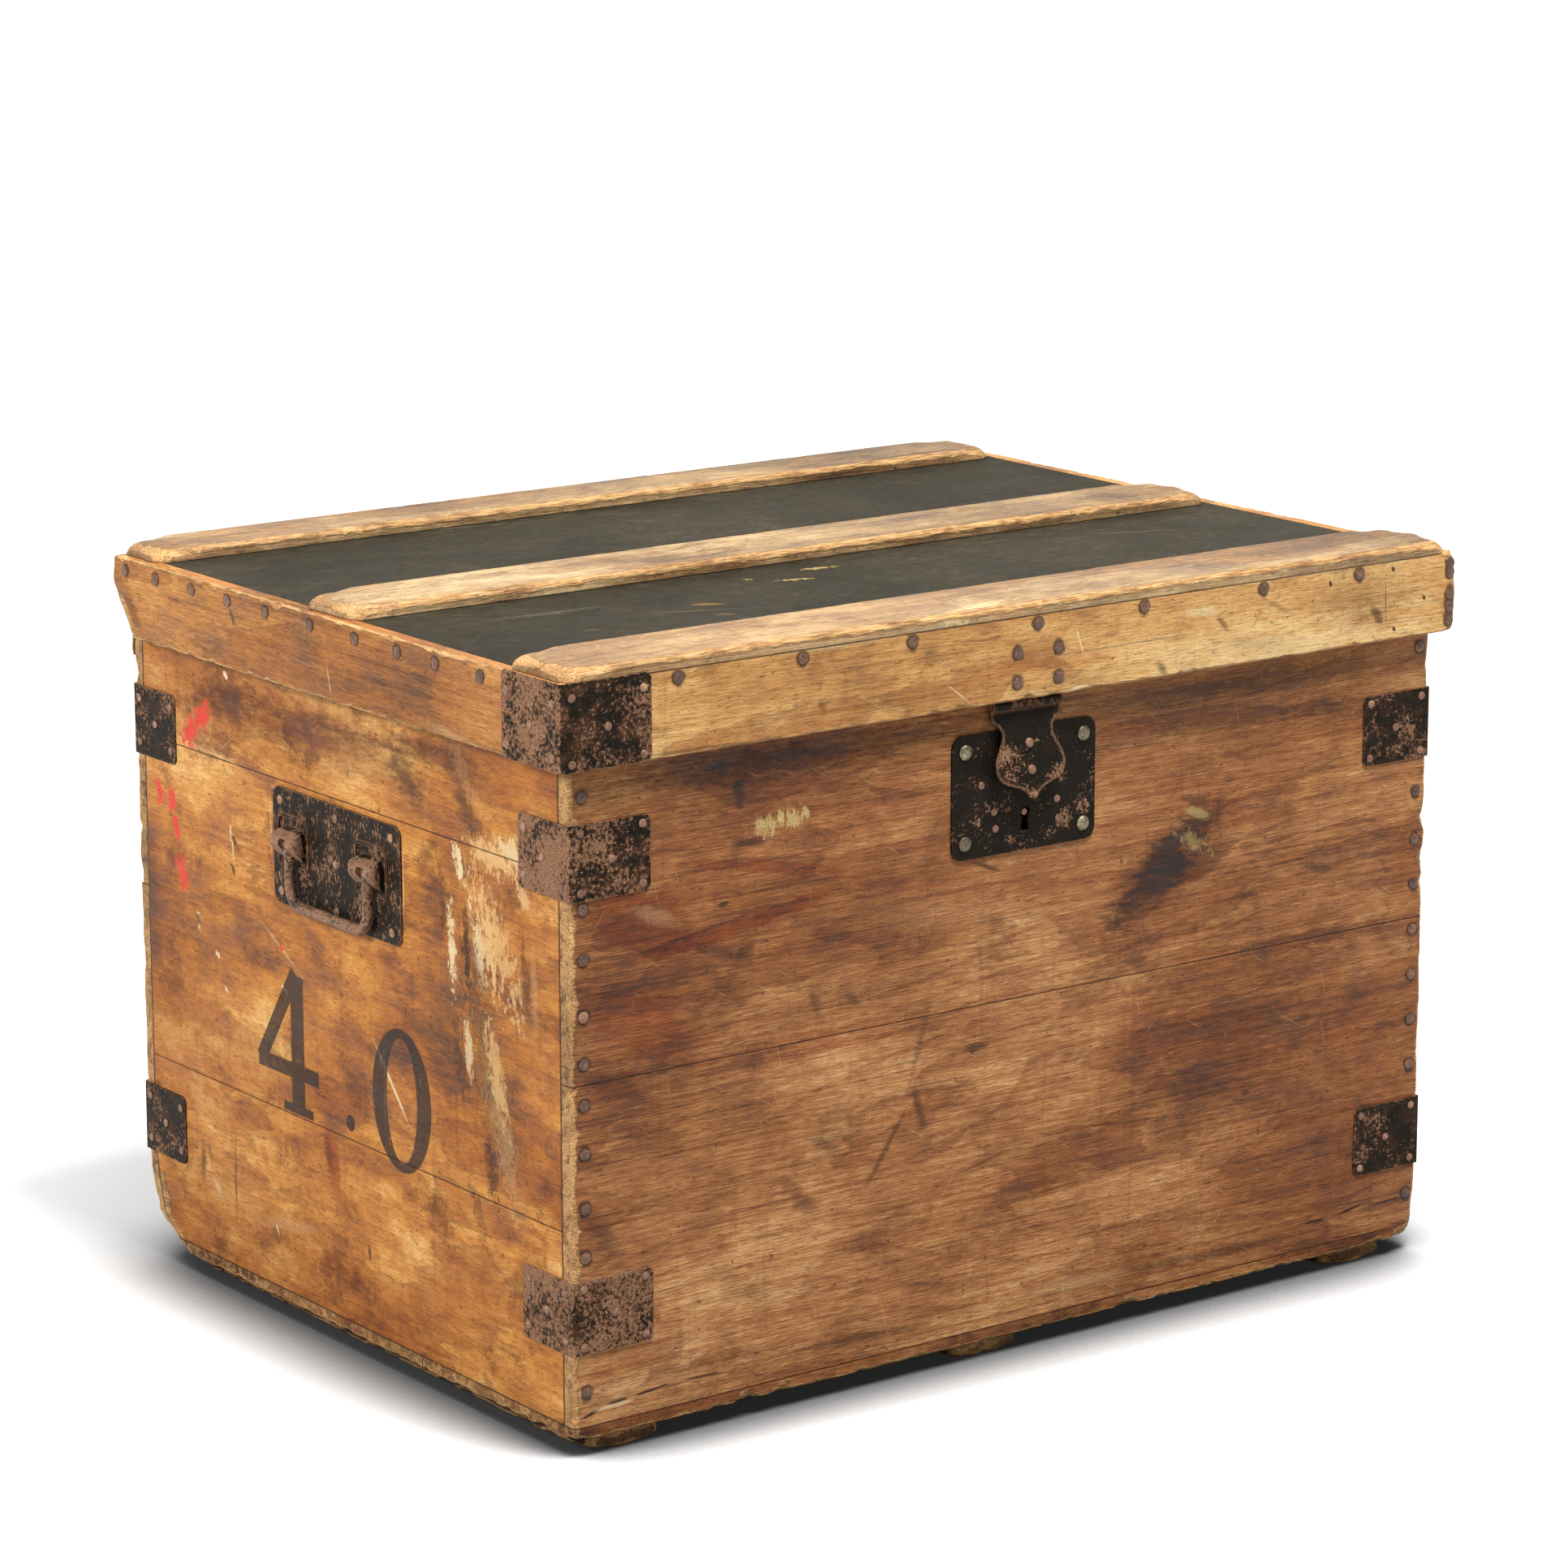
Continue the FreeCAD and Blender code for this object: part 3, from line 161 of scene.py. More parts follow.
def tone_ramp(tree, value, stops):
    made = put(tree, "ShaderNodeValToRGB", {0: value})
    ramp = made.color_ramp
    while len(ramp.elements) < len(stops):
        ramp.elements.new(0.5)
    for element, (at, colour) in zip(ramp.elements, stops):
        element.position = at
        element.color = (*colour, 1.0)
    return made.outputs["Color"]


def tint(red, green, blue):
    """A colour written as it looks on a screen, from 0 to 255, as the light that it gives."""
    linear = [((c / 255 + 0.055) / 1.055) ** 2.4 if c > 10 else c / 3295 for c in
              (red, green, blue)]
    return (*linear, 1.0)


def read_from_mesh(tree, name):
    return put(tree, "ShaderNodeAttribute", attribute_name=name).outputs["Fac"]


print("a screen's middle grey gives", round(tint(128, 128, 128)[0], 3), "of white's light")

# %% [markdown]
# ## Marks on a surface
# A stain, a scuff or a long scratch is the same thing at another size: a soft ellipse with
# ragged edges. A texture mapping moves and turns the place so that the ellipse becomes a
# ball at the centre, and a spherical gradient then fades from its middle to its rim. A dark
# stain soaks in, so it multiplies the wood's colour and the grain stays; paint and paper lie
# on top and cover it.

# %% One mark, laid over the colour below it
NO_DEPTH = 50.0
FLAKY_TEAR = 2
FLAKY_BODY = 0.62
FLAKY_RIM = 0.24
RAGGED_RIM = 0.22
USUAL_TEAR = 1.2
MM = 0.001


def mark(tree, colour, flat_place, rims, spot):
    """rims: a ragged noise for stains and a flaky one for paint and paper, told by the tear.
    spot: centre along and across, half length and width, turn, colour, strength, edge, tear."""
    along, across, long, wide, turn, over, strength, edge, tear = spot
    local = put(tree, "ShaderNodeMapping",
                {"Vector": flat_place, "Location": (along, across, 0),
                 "Rotation": (0, 0, turn), "Scale": (long, wide, NO_DEPTH)},
                vector_type="TEXTURE").outputs[0]
    ball = put(tree, "ShaderNodeTexGradient", {0: local}, gradient_type="SPHERICAL").outputs[1]
    ragged, flaky = rims
    if tear > FLAKY_TEAR:
        torn = calc(tree, "MULTIPLY_ADD", flaky, tear, calc(tree, "MULTIPLY", ball, FLAKY_BODY))
        share = between(tree, torn, FLAKY_RIM, FLAKY_RIM + 0.03 + edge * 0.3, 0.0, strength)
    else:
        torn = calc(tree, "MULTIPLY_ADD", ragged, tear, ball)
        share = between(tree, torn, RAGGED_RIM, RAGGED_RIM + edge, 0.0, strength)
    share = calc(tree, "MULTIPLY", share, between(tree, ball, 0.0, 0.2))
    return blend_colour(tree, share, colour, over, "MULTIPLY" if over in SOAKED else "MIX")


def spots_on(face, axes, rows):
    """Rows of picture points: two ends, half width in mm, colour, strength, edge and tear."""
    along, across = ("XYZ".index(a) for a in axes)
    made = []
    for x0, y0, x1, y1, wide_mm, over, strength, edge, *tear in rows:
        ends = [place_in(face, x, y) for x, y in ((x0, y0), (x1, y1))]
        (a0, b0), (a1, b1) = ((end[along], end[across]) for end in ends)
        wide = wide_mm * MM
        made.append(((a0 + a1) / 2, (b0 + b1) / 2, math.dist((a0, b0), (a1, b1)) / 2 + wide, wide,
                     math.atan2(b1 - b0, a1 - a0), over, strength, edge,
                     tear[0] if tear else USUAL_TEAR))
    return made


print("marks ready, flaky above a tear of", FLAKY_TEAR)

# %% [markdown]
# ## Painted figures
# Owners of such trunks had figures painted on the end. Plain numbers are drawn here in the
# material from bars and a ring, so the black paint lies in the grain and wears with it.
# Each bar is a turned and stretched square, and the ring is an oval less a smaller oval. A
# stroke says its kind, its place right of and above the figure's middle, its half length and
# half width, and last the turn of a bar or the thickness of a ring.

# %% Paint figures from bars and rings
INK = (0.060, 0.058, 0.052, 1.0)
STEM = ("bar", 0.013, 0.000, 0.0510, 0.0088, 90)
CROSS_BAR = ("bar", 0.000, -0.020, 0.0410, 0.0058, 0)
SLANT = ("bar", -0.013, 0.016, 0.0440, 0.0064, 56)
FOOT = ("bar", 0.013, -0.048, 0.0200, 0.0034, 0)
FIGURES = [
    ((355, 1283), [STEM, CROSS_BAR, SLANT, FOOT]),
    ((432, 1384), [("oval", 0.0, 0.0, 0.0058, 0.0060, 0)]),
    ((495, 1357), [("ring", 0.0, 0.0, 0.0380, 0.0520, 0.0185)]),
]
RING_TOP = 0.0068


def stencil(tree, colour, place, worn_off, figures):
    def shape(kind, along, across, long, wide, turn):
        local = put(tree, "ShaderNodeMapping",
                    {"Vector": place, "Location": (along, across, 0), "Rotation": (0, 0, turn),
                     "Scale": (long, wide, NO_DEPTH)}, vector_type="TEXTURE").outputs[0]
        if kind == "bar":
            size = put(tree, "ShaderNodeVectorMath", {0: local}, operation="ABSOLUTE").outputs[0]
            parts = put(tree, "ShaderNodeSeparateXYZ", {0: size})
            far = calc(tree, "MAXIMUM", parts.outputs[0], parts.outputs[1])
        else:
            far = put(tree, "ShaderNodeVectorMath", {0: local},
                      operation="LENGTH").outputs["Value"]
        return between(tree, far, 0.97, 1.01, 1.0, 0.0)

    painted = 0.0
    for (x, y), strokes in figures:
        centre = place_in("left", x, y)
        for kind, right, up, long, wide, last in strokes:
            along, across = centre[1] - right, centre[2] + up
            if kind == "ring":
                hole = shape("oval", along, across, long - last, wide - RING_TOP, 0)
                inked = calc(tree, "SUBTRACT", shape("oval", along, across, long, wide, 0), hole)
            else:
                inked = shape(kind, along, across, long, wide, -math.radians(last))
            painted = calc(tree, "MAXIMUM", inked, painted)
    kept = between(tree, worn_off, 0.085, 0.15, 0.95, 0.25)
    return blend_colour(tree, calc(tree, "MULTIPLY", painted, kept), colour, INK, "MULTIPLY")


print("figures to paint:", len(FIGURES))

# %% [markdown]
# ## The wood
# Old softwood that was once varnished: a honey ground, brown clouds where the varnish is
# left, fine dark fibres along the grain and wide rings where the saw met the tree's layers.
# The rings are the contour lines of one long, slow noise. The mesh brings three numbers with
# it: how worn a point is, which shows pale wood, how near a nail it is, where iron and damp
# have blackened the board, and how near a joint between two boards, which is filled with dirt.
# The recipe lays its coats in the order of the trunk's life: grain, varnish, dirt, marks and
# painted figures, and last the wear that cut through all of them.

# %% Tones of the wood
DARK_BROWN = (0.34, 0.26, 0.22, 1.0)
# Black for dirt, and in the rows under the lid's rim also for painted shadow.
BLACK_DIRT_AND_SHADE = (0.12, 0.10, 0.09, 1.0)
RED_BROWN = (0.66, 0.40, 0.30, 1.0)
VARNISH = (0.62, 0.46, 0.36, 1.0)
SOAKED = (DARK_BROWN, BLACK_DIRT_AND_SHADE, RED_BROWN, VARNISH)
RAW_WOOD = tint(222, 178, 118)
DUSTY = tint(196, 160, 116)
CREAM = tint(232, 208, 160)
OLD_PAINT = tint(198, 172, 112)
RED_PAPER = tint(214, 70, 54)
FRONT_TONES = [(0.00, (0.055, 0.019, 0.006)), (0.25, (0.160, 0.054, 0.016)),
               (0.50, (0.315, 0.120, 0.038)), (0.75, (0.480, 0.215, 0.076)),
               (1.00, (0.700, 0.400, 0.170))]
END_TONES = [(0.00, (0.066, 0.021, 0.004)), (0.25, (0.220, 0.068, 0.012)),
             (0.50, (0.420, 0.148, 0.028)), (0.75, (0.610, 0.262, 0.058)),
             (1.00, (0.800, 0.460, 0.160))]
RIM_TONES = [(0.00, (0.090, 0.038, 0.010)), (0.25, (0.290, 0.115, 0.030)),
             (0.50, (0.500, 0.215, 0.060)), (0.75, (0.690, 0.350, 0.110)),
             (1.00, (0.850, 0.540, 0.220))]
LID_TONES = [(0.00, (0.120, 0.058, 0.018)), (0.25, (0.350, 0.162, 0.047)),
             (0.50, (0.570, 0.286, 0.090)), (0.75, (0.730, 0.420, 0.152)),
             (1.00, (0.860, 0.600, 0.280))]
BATTEN_TONES = [(0.00, (0.060, 0.034, 0.015)), (0.25, (0.170, 0.096, 0.040)),
                (0.50, (0.330, 0.200, 0.090)), (0.75, (0.500, 0.335, 0.160)),
                (1.00, (0.740, 0.540, 0.290))]
BASE_TONES = [(0.00, (0.010, 0.006, 0.003)), (0.25, (0.040, 0.018, 0.008)),
              (0.50, (0.110, 0.052, 0.022)), (0.75, (0.250, 0.130, 0.055)),
              (1.00, (0.440, 0.260, 0.120))]

print("tones:", len(FRONT_TONES), "steps each, from shade to light")

# %% Lay one coat of colour on another


def coat(tree, colour, share, over, most=1.0):
    """Dirt and varnish soak in and multiply the colour below; dust and paint cover it."""
    return blend_colour(tree, calc(tree, "MULTIPLY", share, most), colour, over,
                        "MULTIPLY" if over in SOAKED else "MIX")


print("colours that soak in:", len(SOAKED))

# %% The grain: broad clouds, fine fibres and the tree's late rings


def grain_of(tree, place, across, tones, shift, rings, mottle, grain):
    """mottle and grain scale the clouds and the lines. Returns the colour and three noises."""
    def layer(tone, noise, share):
        return calc(tree, "MULTIPLY_ADD", calc(tree, "SUBTRACT", noise, 0.5), share, tone)

    broad = cloudy(tree, place, (3.4, 6.5, 6.5), 3.0, 0.5, shift)
    cloud = cloudy(tree, place, (20.0, 40.0, 40.0), 7.0, 0.70, shift)
    fibre = cloudy(tree, place, (60.0, 1100.0, 1100.0), 4.0, 0.7)
    streak = cloudy(tree, place, (5.0, 330.0, 330.0), 5.0, 0.6, shift)
    slow = cloudy(tree, place, (1.1, 5.0, 5.0), 2.0, 0.4, shift)
    layers = calc(tree, "MULTIPLY_ADD", slow, 15.0, calc(tree, "MULTIPLY", across, 34.0))
    late = calc(tree, "POWER", calc(tree, "FRACT", layers), 4.0)
    tone = layer(0.55, broad, 1.7 * mottle)
    tone = layer(tone, cloud, 1.25 * mottle)
    tone = layer(tone, fibre, 1.0 * grain)
    tone = layer(tone, streak, 0.8 * grain)
    tone = layer(tone, late, -0.15 * rings)
    return tone_ramp(tree, tone, tones), cloud, fibre, streak


print("grain ready")

# %% Old varnish with a tide line, smoke, rain streaks, pores and specks


def soiled(tree, colour, place, streak, shift, dirt, mottle, grain):
    """Returns the soiled colour and the noises that the bump and the bare edges use again."""
    glaze = cloudy(tree, place, (2.6, 9.0, 9.0), 6.0, 0.55, shift[::-1])
    colour = coat(tree, colour, between(tree, glaze, 0.50, 0.53), VARNISH, 0.42 + 0.16 * mottle)
    tide = calc(tree, "MULTIPLY", between(tree, glaze, 0.498, 0.506),
                between(tree, glaze, 0.506, 0.525, 1.0, 0.0))
    colour = coat(tree, colour, tide, DARK_BROWN, 0.45)
    smoke = cloudy(tree, place, (15.0, 19.0, 19.0), 9.0, 0.74, shift)
    colour = coat(tree, colour, between(tree, smoke, 0.52, 0.64), DARK_BROWN, dirt * mottle)
    rain = cloudy(tree, place, (150.0, 7.0, 7.0), 7.0, 0.74, shift)
    colour = coat(tree, colour, between(tree, rain, 0.53, 0.70), DARK_BROWN, dirt * 0.5)
    lines = between(tree, streak, 0.58, 0.70)
    colour = coat(tree, colour, lines, DARK_BROWN, 0.6 * grain)
    pores = between(tree, cloudy(tree, place, (130.0, 1700.0, 1700.0), 2.0, 0.5), 0.57, 0.68)
    colour = coat(tree, colour, pores, DARK_BROWN, 0.6)
    specks = cloudy(tree, place, (150.0, 230.0, 230.0), 6.0, 0.72, shift)
    specks = between(tree, specks, 0.62, 0.67)
    colour = coat(tree, colour, specks, BLACK_DIRT_AND_SHADE, 0.45 + dirt * 0.5)
    rubbed = cloudy(tree, place, (55.0, 150.0, 150.0), 8.0, 0.80, shift[::-1])
    rubbed = between(tree, rubbed, 0.59, 0.68)
    return coat(tree, colour, rubbed, DUSTY, 0.40), smoke, pores, specks, rubbed


print("varnish and dirt ready")

# %% Hair scratches, the black round each nail, bare edges and joints
SCRATCHES = ((0.55, 0.34), (-0.9, 0.30), (1.35, 0.26))


def worn_down(tree, colour, place, ragged, cloud, fibre, smoke, shift):
    """Reads halo, worn and seam from the mesh. Returns the colour and how bare the wood is."""
    for turn, seen in SCRATCHES:
        tilted = put(tree, "ShaderNodeMapping", {"Vector": place, "Rotation": (0, 0, turn)})
        hair = cloudy(tree, tilted.outputs[0], (22.0, 560.0, 560.0), 1.0, 0.5, shift)
        colour = coat(tree, colour, between(tree, hair, 0.74, 0.78), RAW_WOOD, seen)
    halo = calc(tree, "MULTIPLY_ADD", ragged, 1.0, read_from_mesh(tree, "halo"))
    colour = coat(tree, colour, between(tree, halo, 0.30, 0.75), BLACK_DIRT_AND_SHADE, 0.90)
    worn = calc(tree, "MULTIPLY_ADD", ragged, 1.8, read_from_mesh(tree, "worn"))
    worn = calc(tree, "MULTIPLY_ADD", calc(tree, "SUBTRACT", cloud, 0.5), 1.0, worn)
    pale = tone_ramp(tree, fibre, [(0.34, (0.160, 0.070, 0.024)), (0.46, (0.440, 0.218, 0.074)),
                                   (0.60, (0.740, 0.470, 0.200))])
    bare = between(tree, worn, 0.34, 0.60, 0.0, 0.90)
    colour = blend_colour(tree, bare, colour, pale)
    grime = calc(tree, "MULTIPLY", between(tree, smoke, 0.46, 0.58), bare)
    colour = coat(tree, colour, grime, DARK_BROWN, 0.55)
    joint = between(tree, read_from_mesh(tree, "seam"), 0.2, 0.8)
    return coat(tree, colour, joint, BLACK_DIRT_AND_SHADE, 0.85), bare


print("wear ready, hair scratches in", len(SCRATCHES), "directions")

# %% Put the wood together


def wood_finish(name, axes, tones, shift, marks=(), dirt=0.5, rings=0.5, shine=0.5,
                figures=(), mottle=1.0, grain=1.0):
    """axes: the letters of the directions along the board, across it and through it."""
    material, tree = new_finish(name)
    where = put(tree, "ShaderNodeTexCoord").outputs["Object"]
    part = put(tree, "ShaderNodeSeparateXYZ", {0: where})
    along, across, depth = (part.outputs["XYZ".index(a)] for a in axes)
    place = put(tree, "ShaderNodeCombineXYZ", {0: along, 1: across, 2: depth}).outputs[0]
    colour, cloud, fibre, streak = grain_of(tree, place, across, tones, shift, rings, mottle,
                                            grain)
    colour, smoke, pores, specks, rubbed = soiled(tree, colour, place, streak, shift, dirt,
                                                  mottle, grain)
    ragged = calc(tree, "SUBTRACT", cloudy(tree, place, (60.0, 150.0, 150.0), 8.0, 0.78), 0.5)
    flaky = calc(tree, "SUBTRACT", cloudy(tree, place, (230.0, 110.0, 230.0), 8.0, 0.82), 0.5)
    for spot in marks:
        colour = mark(tree, colour, place, (ragged, flaky), spot)
    if figures:
        colour = stencil(tree, colour, place, flaky, figures)
    colour, bare = worn_down(tree, colour, place, ragged, cloud, fibre, smoke, shift)

    height = calc(tree, "MULTIPLY_ADD", fibre, 0.8, calc(tree, "MULTIPLY", streak, 0.6))
    height = calc(tree, "MULTIPLY_ADD", pores, -0.35, height)
    height = calc(tree, "MULTIPLY_ADD", specks, -0.4, height)
    height = calc(tree, "MULTIPLY_ADD", rubbed, -0.3, height)
    height = calc(tree, "MULTIPLY_ADD", calc(tree, "MULTIPLY", bare, cloud), 2.2, height)
    bump = put(tree, "ShaderNodeBump", {"Strength": 0.85, "Distance": 0.0008,
                                        "Height": height}).outputs[0]
    rough = between(tree, cloud, 0.30, 0.70, 0.52 - 0.12 * shine, 0.80 - 0.16 * shine)
    rough = calc(tree, "MAXIMUM", rough, calc(tree, "MULTIPLY", bare, 0.60 - 0.12 * shine))
    skin = put(tree, "ShaderNodeBsdfPrincipled",
               {"Base Color": colour, "Roughness": rough, "Normal": bump,
                "Specular IOR Level": 0.22})
    put(tree, "ShaderNodeOutputMaterial", {"Surface": skin.outputs[0]})
    return material


print("wood recipe ready")

# %% [markdown]
# ### The stains of the front, and the lid's shadow painted along its top
# Each row below is one mark: where it starts and ends in the picture, half its width in
# millimetres, what it is made of, how strong it is and how soft its rim. A last number, if
# there is one, tears the rim, and above 2 it breaks the mark into flakes. The large dark
# brush mark at the right of the lock is the strongest.

# %% Marks on the front
FRONT_MARKS = [
    # These four rows lie along the top, just under the lid's rim: painted shadow of the rim over a
    # little dirt.
    (660, 972, 1260, 886, 24, BLACK_DIRT_AND_SHADE, 0.90, 0.9),
    (1170, 895, 1800, 803, 20, BLACK_DIRT_AND_SHADE, 0.90, 0.9),
    (690, 1005, 1160, 960, 36, DARK_BROWN, 0.65, 0.9),
    (1200, 930, 1760, 870, 28, DARK_BROWN, 0.50, 0.9),
    (1345, 1165, 1500, 1035, 24, DARK_BROWN, 0.70, 0.5, 1.9),
    # These four rows along the top are painted shadow under the lid's rim as well, on wood that is
    # also dirtier there.
    (700, 950, 1175, 925, 24, DARK_BROWN, 0.85, 0.7),
    (715, 965, 1040, 950, 16, DARK_BROWN, 0.75, 0.6),
    (1180, 925, 1750, 850, 20, DARK_BROWN, 0.80, 0.7),
    (1560, 880, 1750, 860, 26, DARK_BROWN, 0.80, 0.8),
    (730, 1120, 850, 1150, 34, RED_BROWN, 0.85, 0.35),
    (712, 1230, 860, 1290, 40, RED_BROWN, 0.75, 0.45),
    (804, 1062, 1080, 1074, 7, RED_BROWN, 0.75, 0.30),
    (726, 1206, 1080, 1080, 9, RED_BROWN, 0.85, 0.30),
    (735, 1195, 960, 1112, 3, DARK_BROWN, 0.75, 0.5),
    (760, 1330, 1240, 1240, 22, RED_BROWN, 0.50, 0.8),
    (1190, 1280, 1680, 1240, 60, RED_BROWN, 0.40, 0.9),
    (1560, 1080, 1740, 1420, 60, RED_BROWN, 0.36, 0.9),
    (1380, 940, 1560, 1010, 34, RED_BROWN, 0.50, 0.9),
    (1000, 1130, 1290, 1120, 26, DUSTY, 0.16, 0.9),
    (770, 1118, 850, 1140, 10, DUSTY, 0.30, 0.6, 1.9),
    (834, 1160, 942, 1185, 9, BLACK_DIRT_AND_SHADE, 0.60, 0.7),
    (905, 1178, 930, 1165, 7, BLACK_DIRT_AND_SHADE, 0.70, 0.6),
    (997, 1215, 1012, 1262, 8, BLACK_DIRT_AND_SHADE, 0.60, 0.7),
    (1040, 1225, 1063, 1240, 7, BLACK_DIRT_AND_SHADE, 0.60, 0.7),
    (908, 962, 914, 996, 9, BLACK_DIRT_AND_SHADE, 0.85, 0.6, 1.8),
    (720, 1020, 1170, 985, 60, RED_BROWN, 0.55, 0.9),
    (888, 1044, 960, 1032, 5, BLACK_DIRT_AND_SHADE, 0.80, 0.6, 1.8),
    (930, 1022, 962, 1010, 11, OLD_PAINT, 0.80, 0.4, 3.0),
    (958, 1012, 992, 1003, 11, OLD_PAINT, 0.80, 0.4, 3.0),
    (885, 1116, 898, 1112, 3, BLACK_DIRT_AND_SHADE, 0.90, 0.4),
    (1153, 1207, 1111, 1375, 5, BLACK_DIRT_AND_SHADE, 0.50, 0.7),
    (1123, 1333, 1141, 1400, 7, BLACK_DIRT_AND_SHADE, 0.65, 0.6),
    (1177, 1298, 1225, 1285, 4, BLACK_DIRT_AND_SHADE, 0.80, 0.5, 1.8),
    (1048, 1500, 1135, 1330, 4, DARK_BROWN, 0.80, 0.6),
    (1190, 1060, 1240, 1075, 3, BLACK_DIRT_AND_SHADE, 0.75, 0.5),
    (1370, 1110, 1470, 1040, 26, DARK_BROWN, 0.80, 0.5),
    (1350, 1150, 1500, 1020, 21, BLACK_DIRT_AND_SHADE, 0.75, 0.5, 1.9),
    (1395, 1075, 1510, 990, 18, BLACK_DIRT_AND_SHADE, 0.80, 0.5, 1.9),
    (1440, 1092, 1516, 1040, 16, DARK_BROWN, 0.80, 0.4),
    (1395, 1090, 1520, 985, 30, DARK_BROWN, 0.85, 0.6, 1.7),
    (1455, 985, 1500, 985, 9, BLACK_DIRT_AND_SHADE, 0.60, 0.5, 1.9),
    (1462, 998, 1490, 1006, 6, OLD_PAINT, 0.50, 0.4, 2.0),
    (1450, 1025, 1492, 1050, 11, OLD_PAINT, 0.35, 0.6, 2.5),
    (712, 1320, 804, 1350, 24, DARK_BROWN, 0.75, 0.7),
    (735, 1390, 860, 1400, 12, DARK_BROWN, 0.60, 0.6),
    (985, 1395, 1040, 1420, 9, BLACK_DIRT_AND_SHADE, 0.50, 0.6),
    (960, 1450, 1010, 1500, 12, DARK_BROWN, 0.60, 0.6),
    (720, 1490, 765, 1560, 17, BLACK_DIRT_AND_SHADE, 0.60, 0.7),
    (840, 1545, 980, 1620, 16, DARK_BROWN, 0.45, 0.7),
    (1200, 1480, 1330, 1440, 12, DARK_BROWN, 0.40, 0.7),
    (1130, 1470, 1290, 1395, 2.2, DARK_BROWN, 0.60, 0.5),
    (1290, 1395, 1480, 1370, 2.2, DARK_BROWN, 0.60, 0.5),
    (1160, 1510, 1400, 1430, 2.0, DARK_BROWN, 0.50, 0.5),
    (1500, 1400, 1650, 1370, 14, RED_BROWN, 0.60, 0.7),
    (1660, 1090, 1735, 1200, 16, DARK_BROWN, 0.50, 0.8),
    (1590, 1060, 1660, 1078, 7, BLACK_DIRT_AND_SHADE, 0.55, 0.6, 1.8),
    (1240, 1600, 1420, 1560, 12, DUSTY, 0.30, 0.7),
    (880, 1500, 1500, 1400, 90, VARNISH, 0.45, 0.9),
    (870, 1690, 1230, 1610, 5, BLACK_DIRT_AND_SHADE, 0.55, 0.6),
    (1300, 1585, 1700, 1500, 6, BLACK_DIRT_AND_SHADE, 0.55, 0.6),
    (712, 1752, 745, 1732, 2.0, BLACK_DIRT_AND_SHADE, 1.0, 0.25),
    (745, 1732, 775, 1722, 1.9, BLACK_DIRT_AND_SHADE, 1.0, 0.25),
    (775, 1722, 830, 1703, 1.6, BLACK_DIRT_AND_SHADE, 1.0, 0.25),
    (830, 1703, 900, 1688, 1.2, BLACK_DIRT_AND_SHADE, 1.0, 0.25),
    (720, 1742, 790, 1722, 3.0, CREAM, 0.55, 0.5),
    (1602, 1509, 1640, 1500, 1.5, BLACK_DIRT_AND_SHADE, 1.0, 0.25),
    (1640, 1500, 1688, 1479, 1.6, BLACK_DIRT_AND_SHADE, 1.0, 0.25),
    (1687, 1486, 1733, 1473, 1.4, BLACK_DIRT_AND_SHADE, 1.0, 0.25),
]
print("marks on the front:", len(FRONT_MARKS))

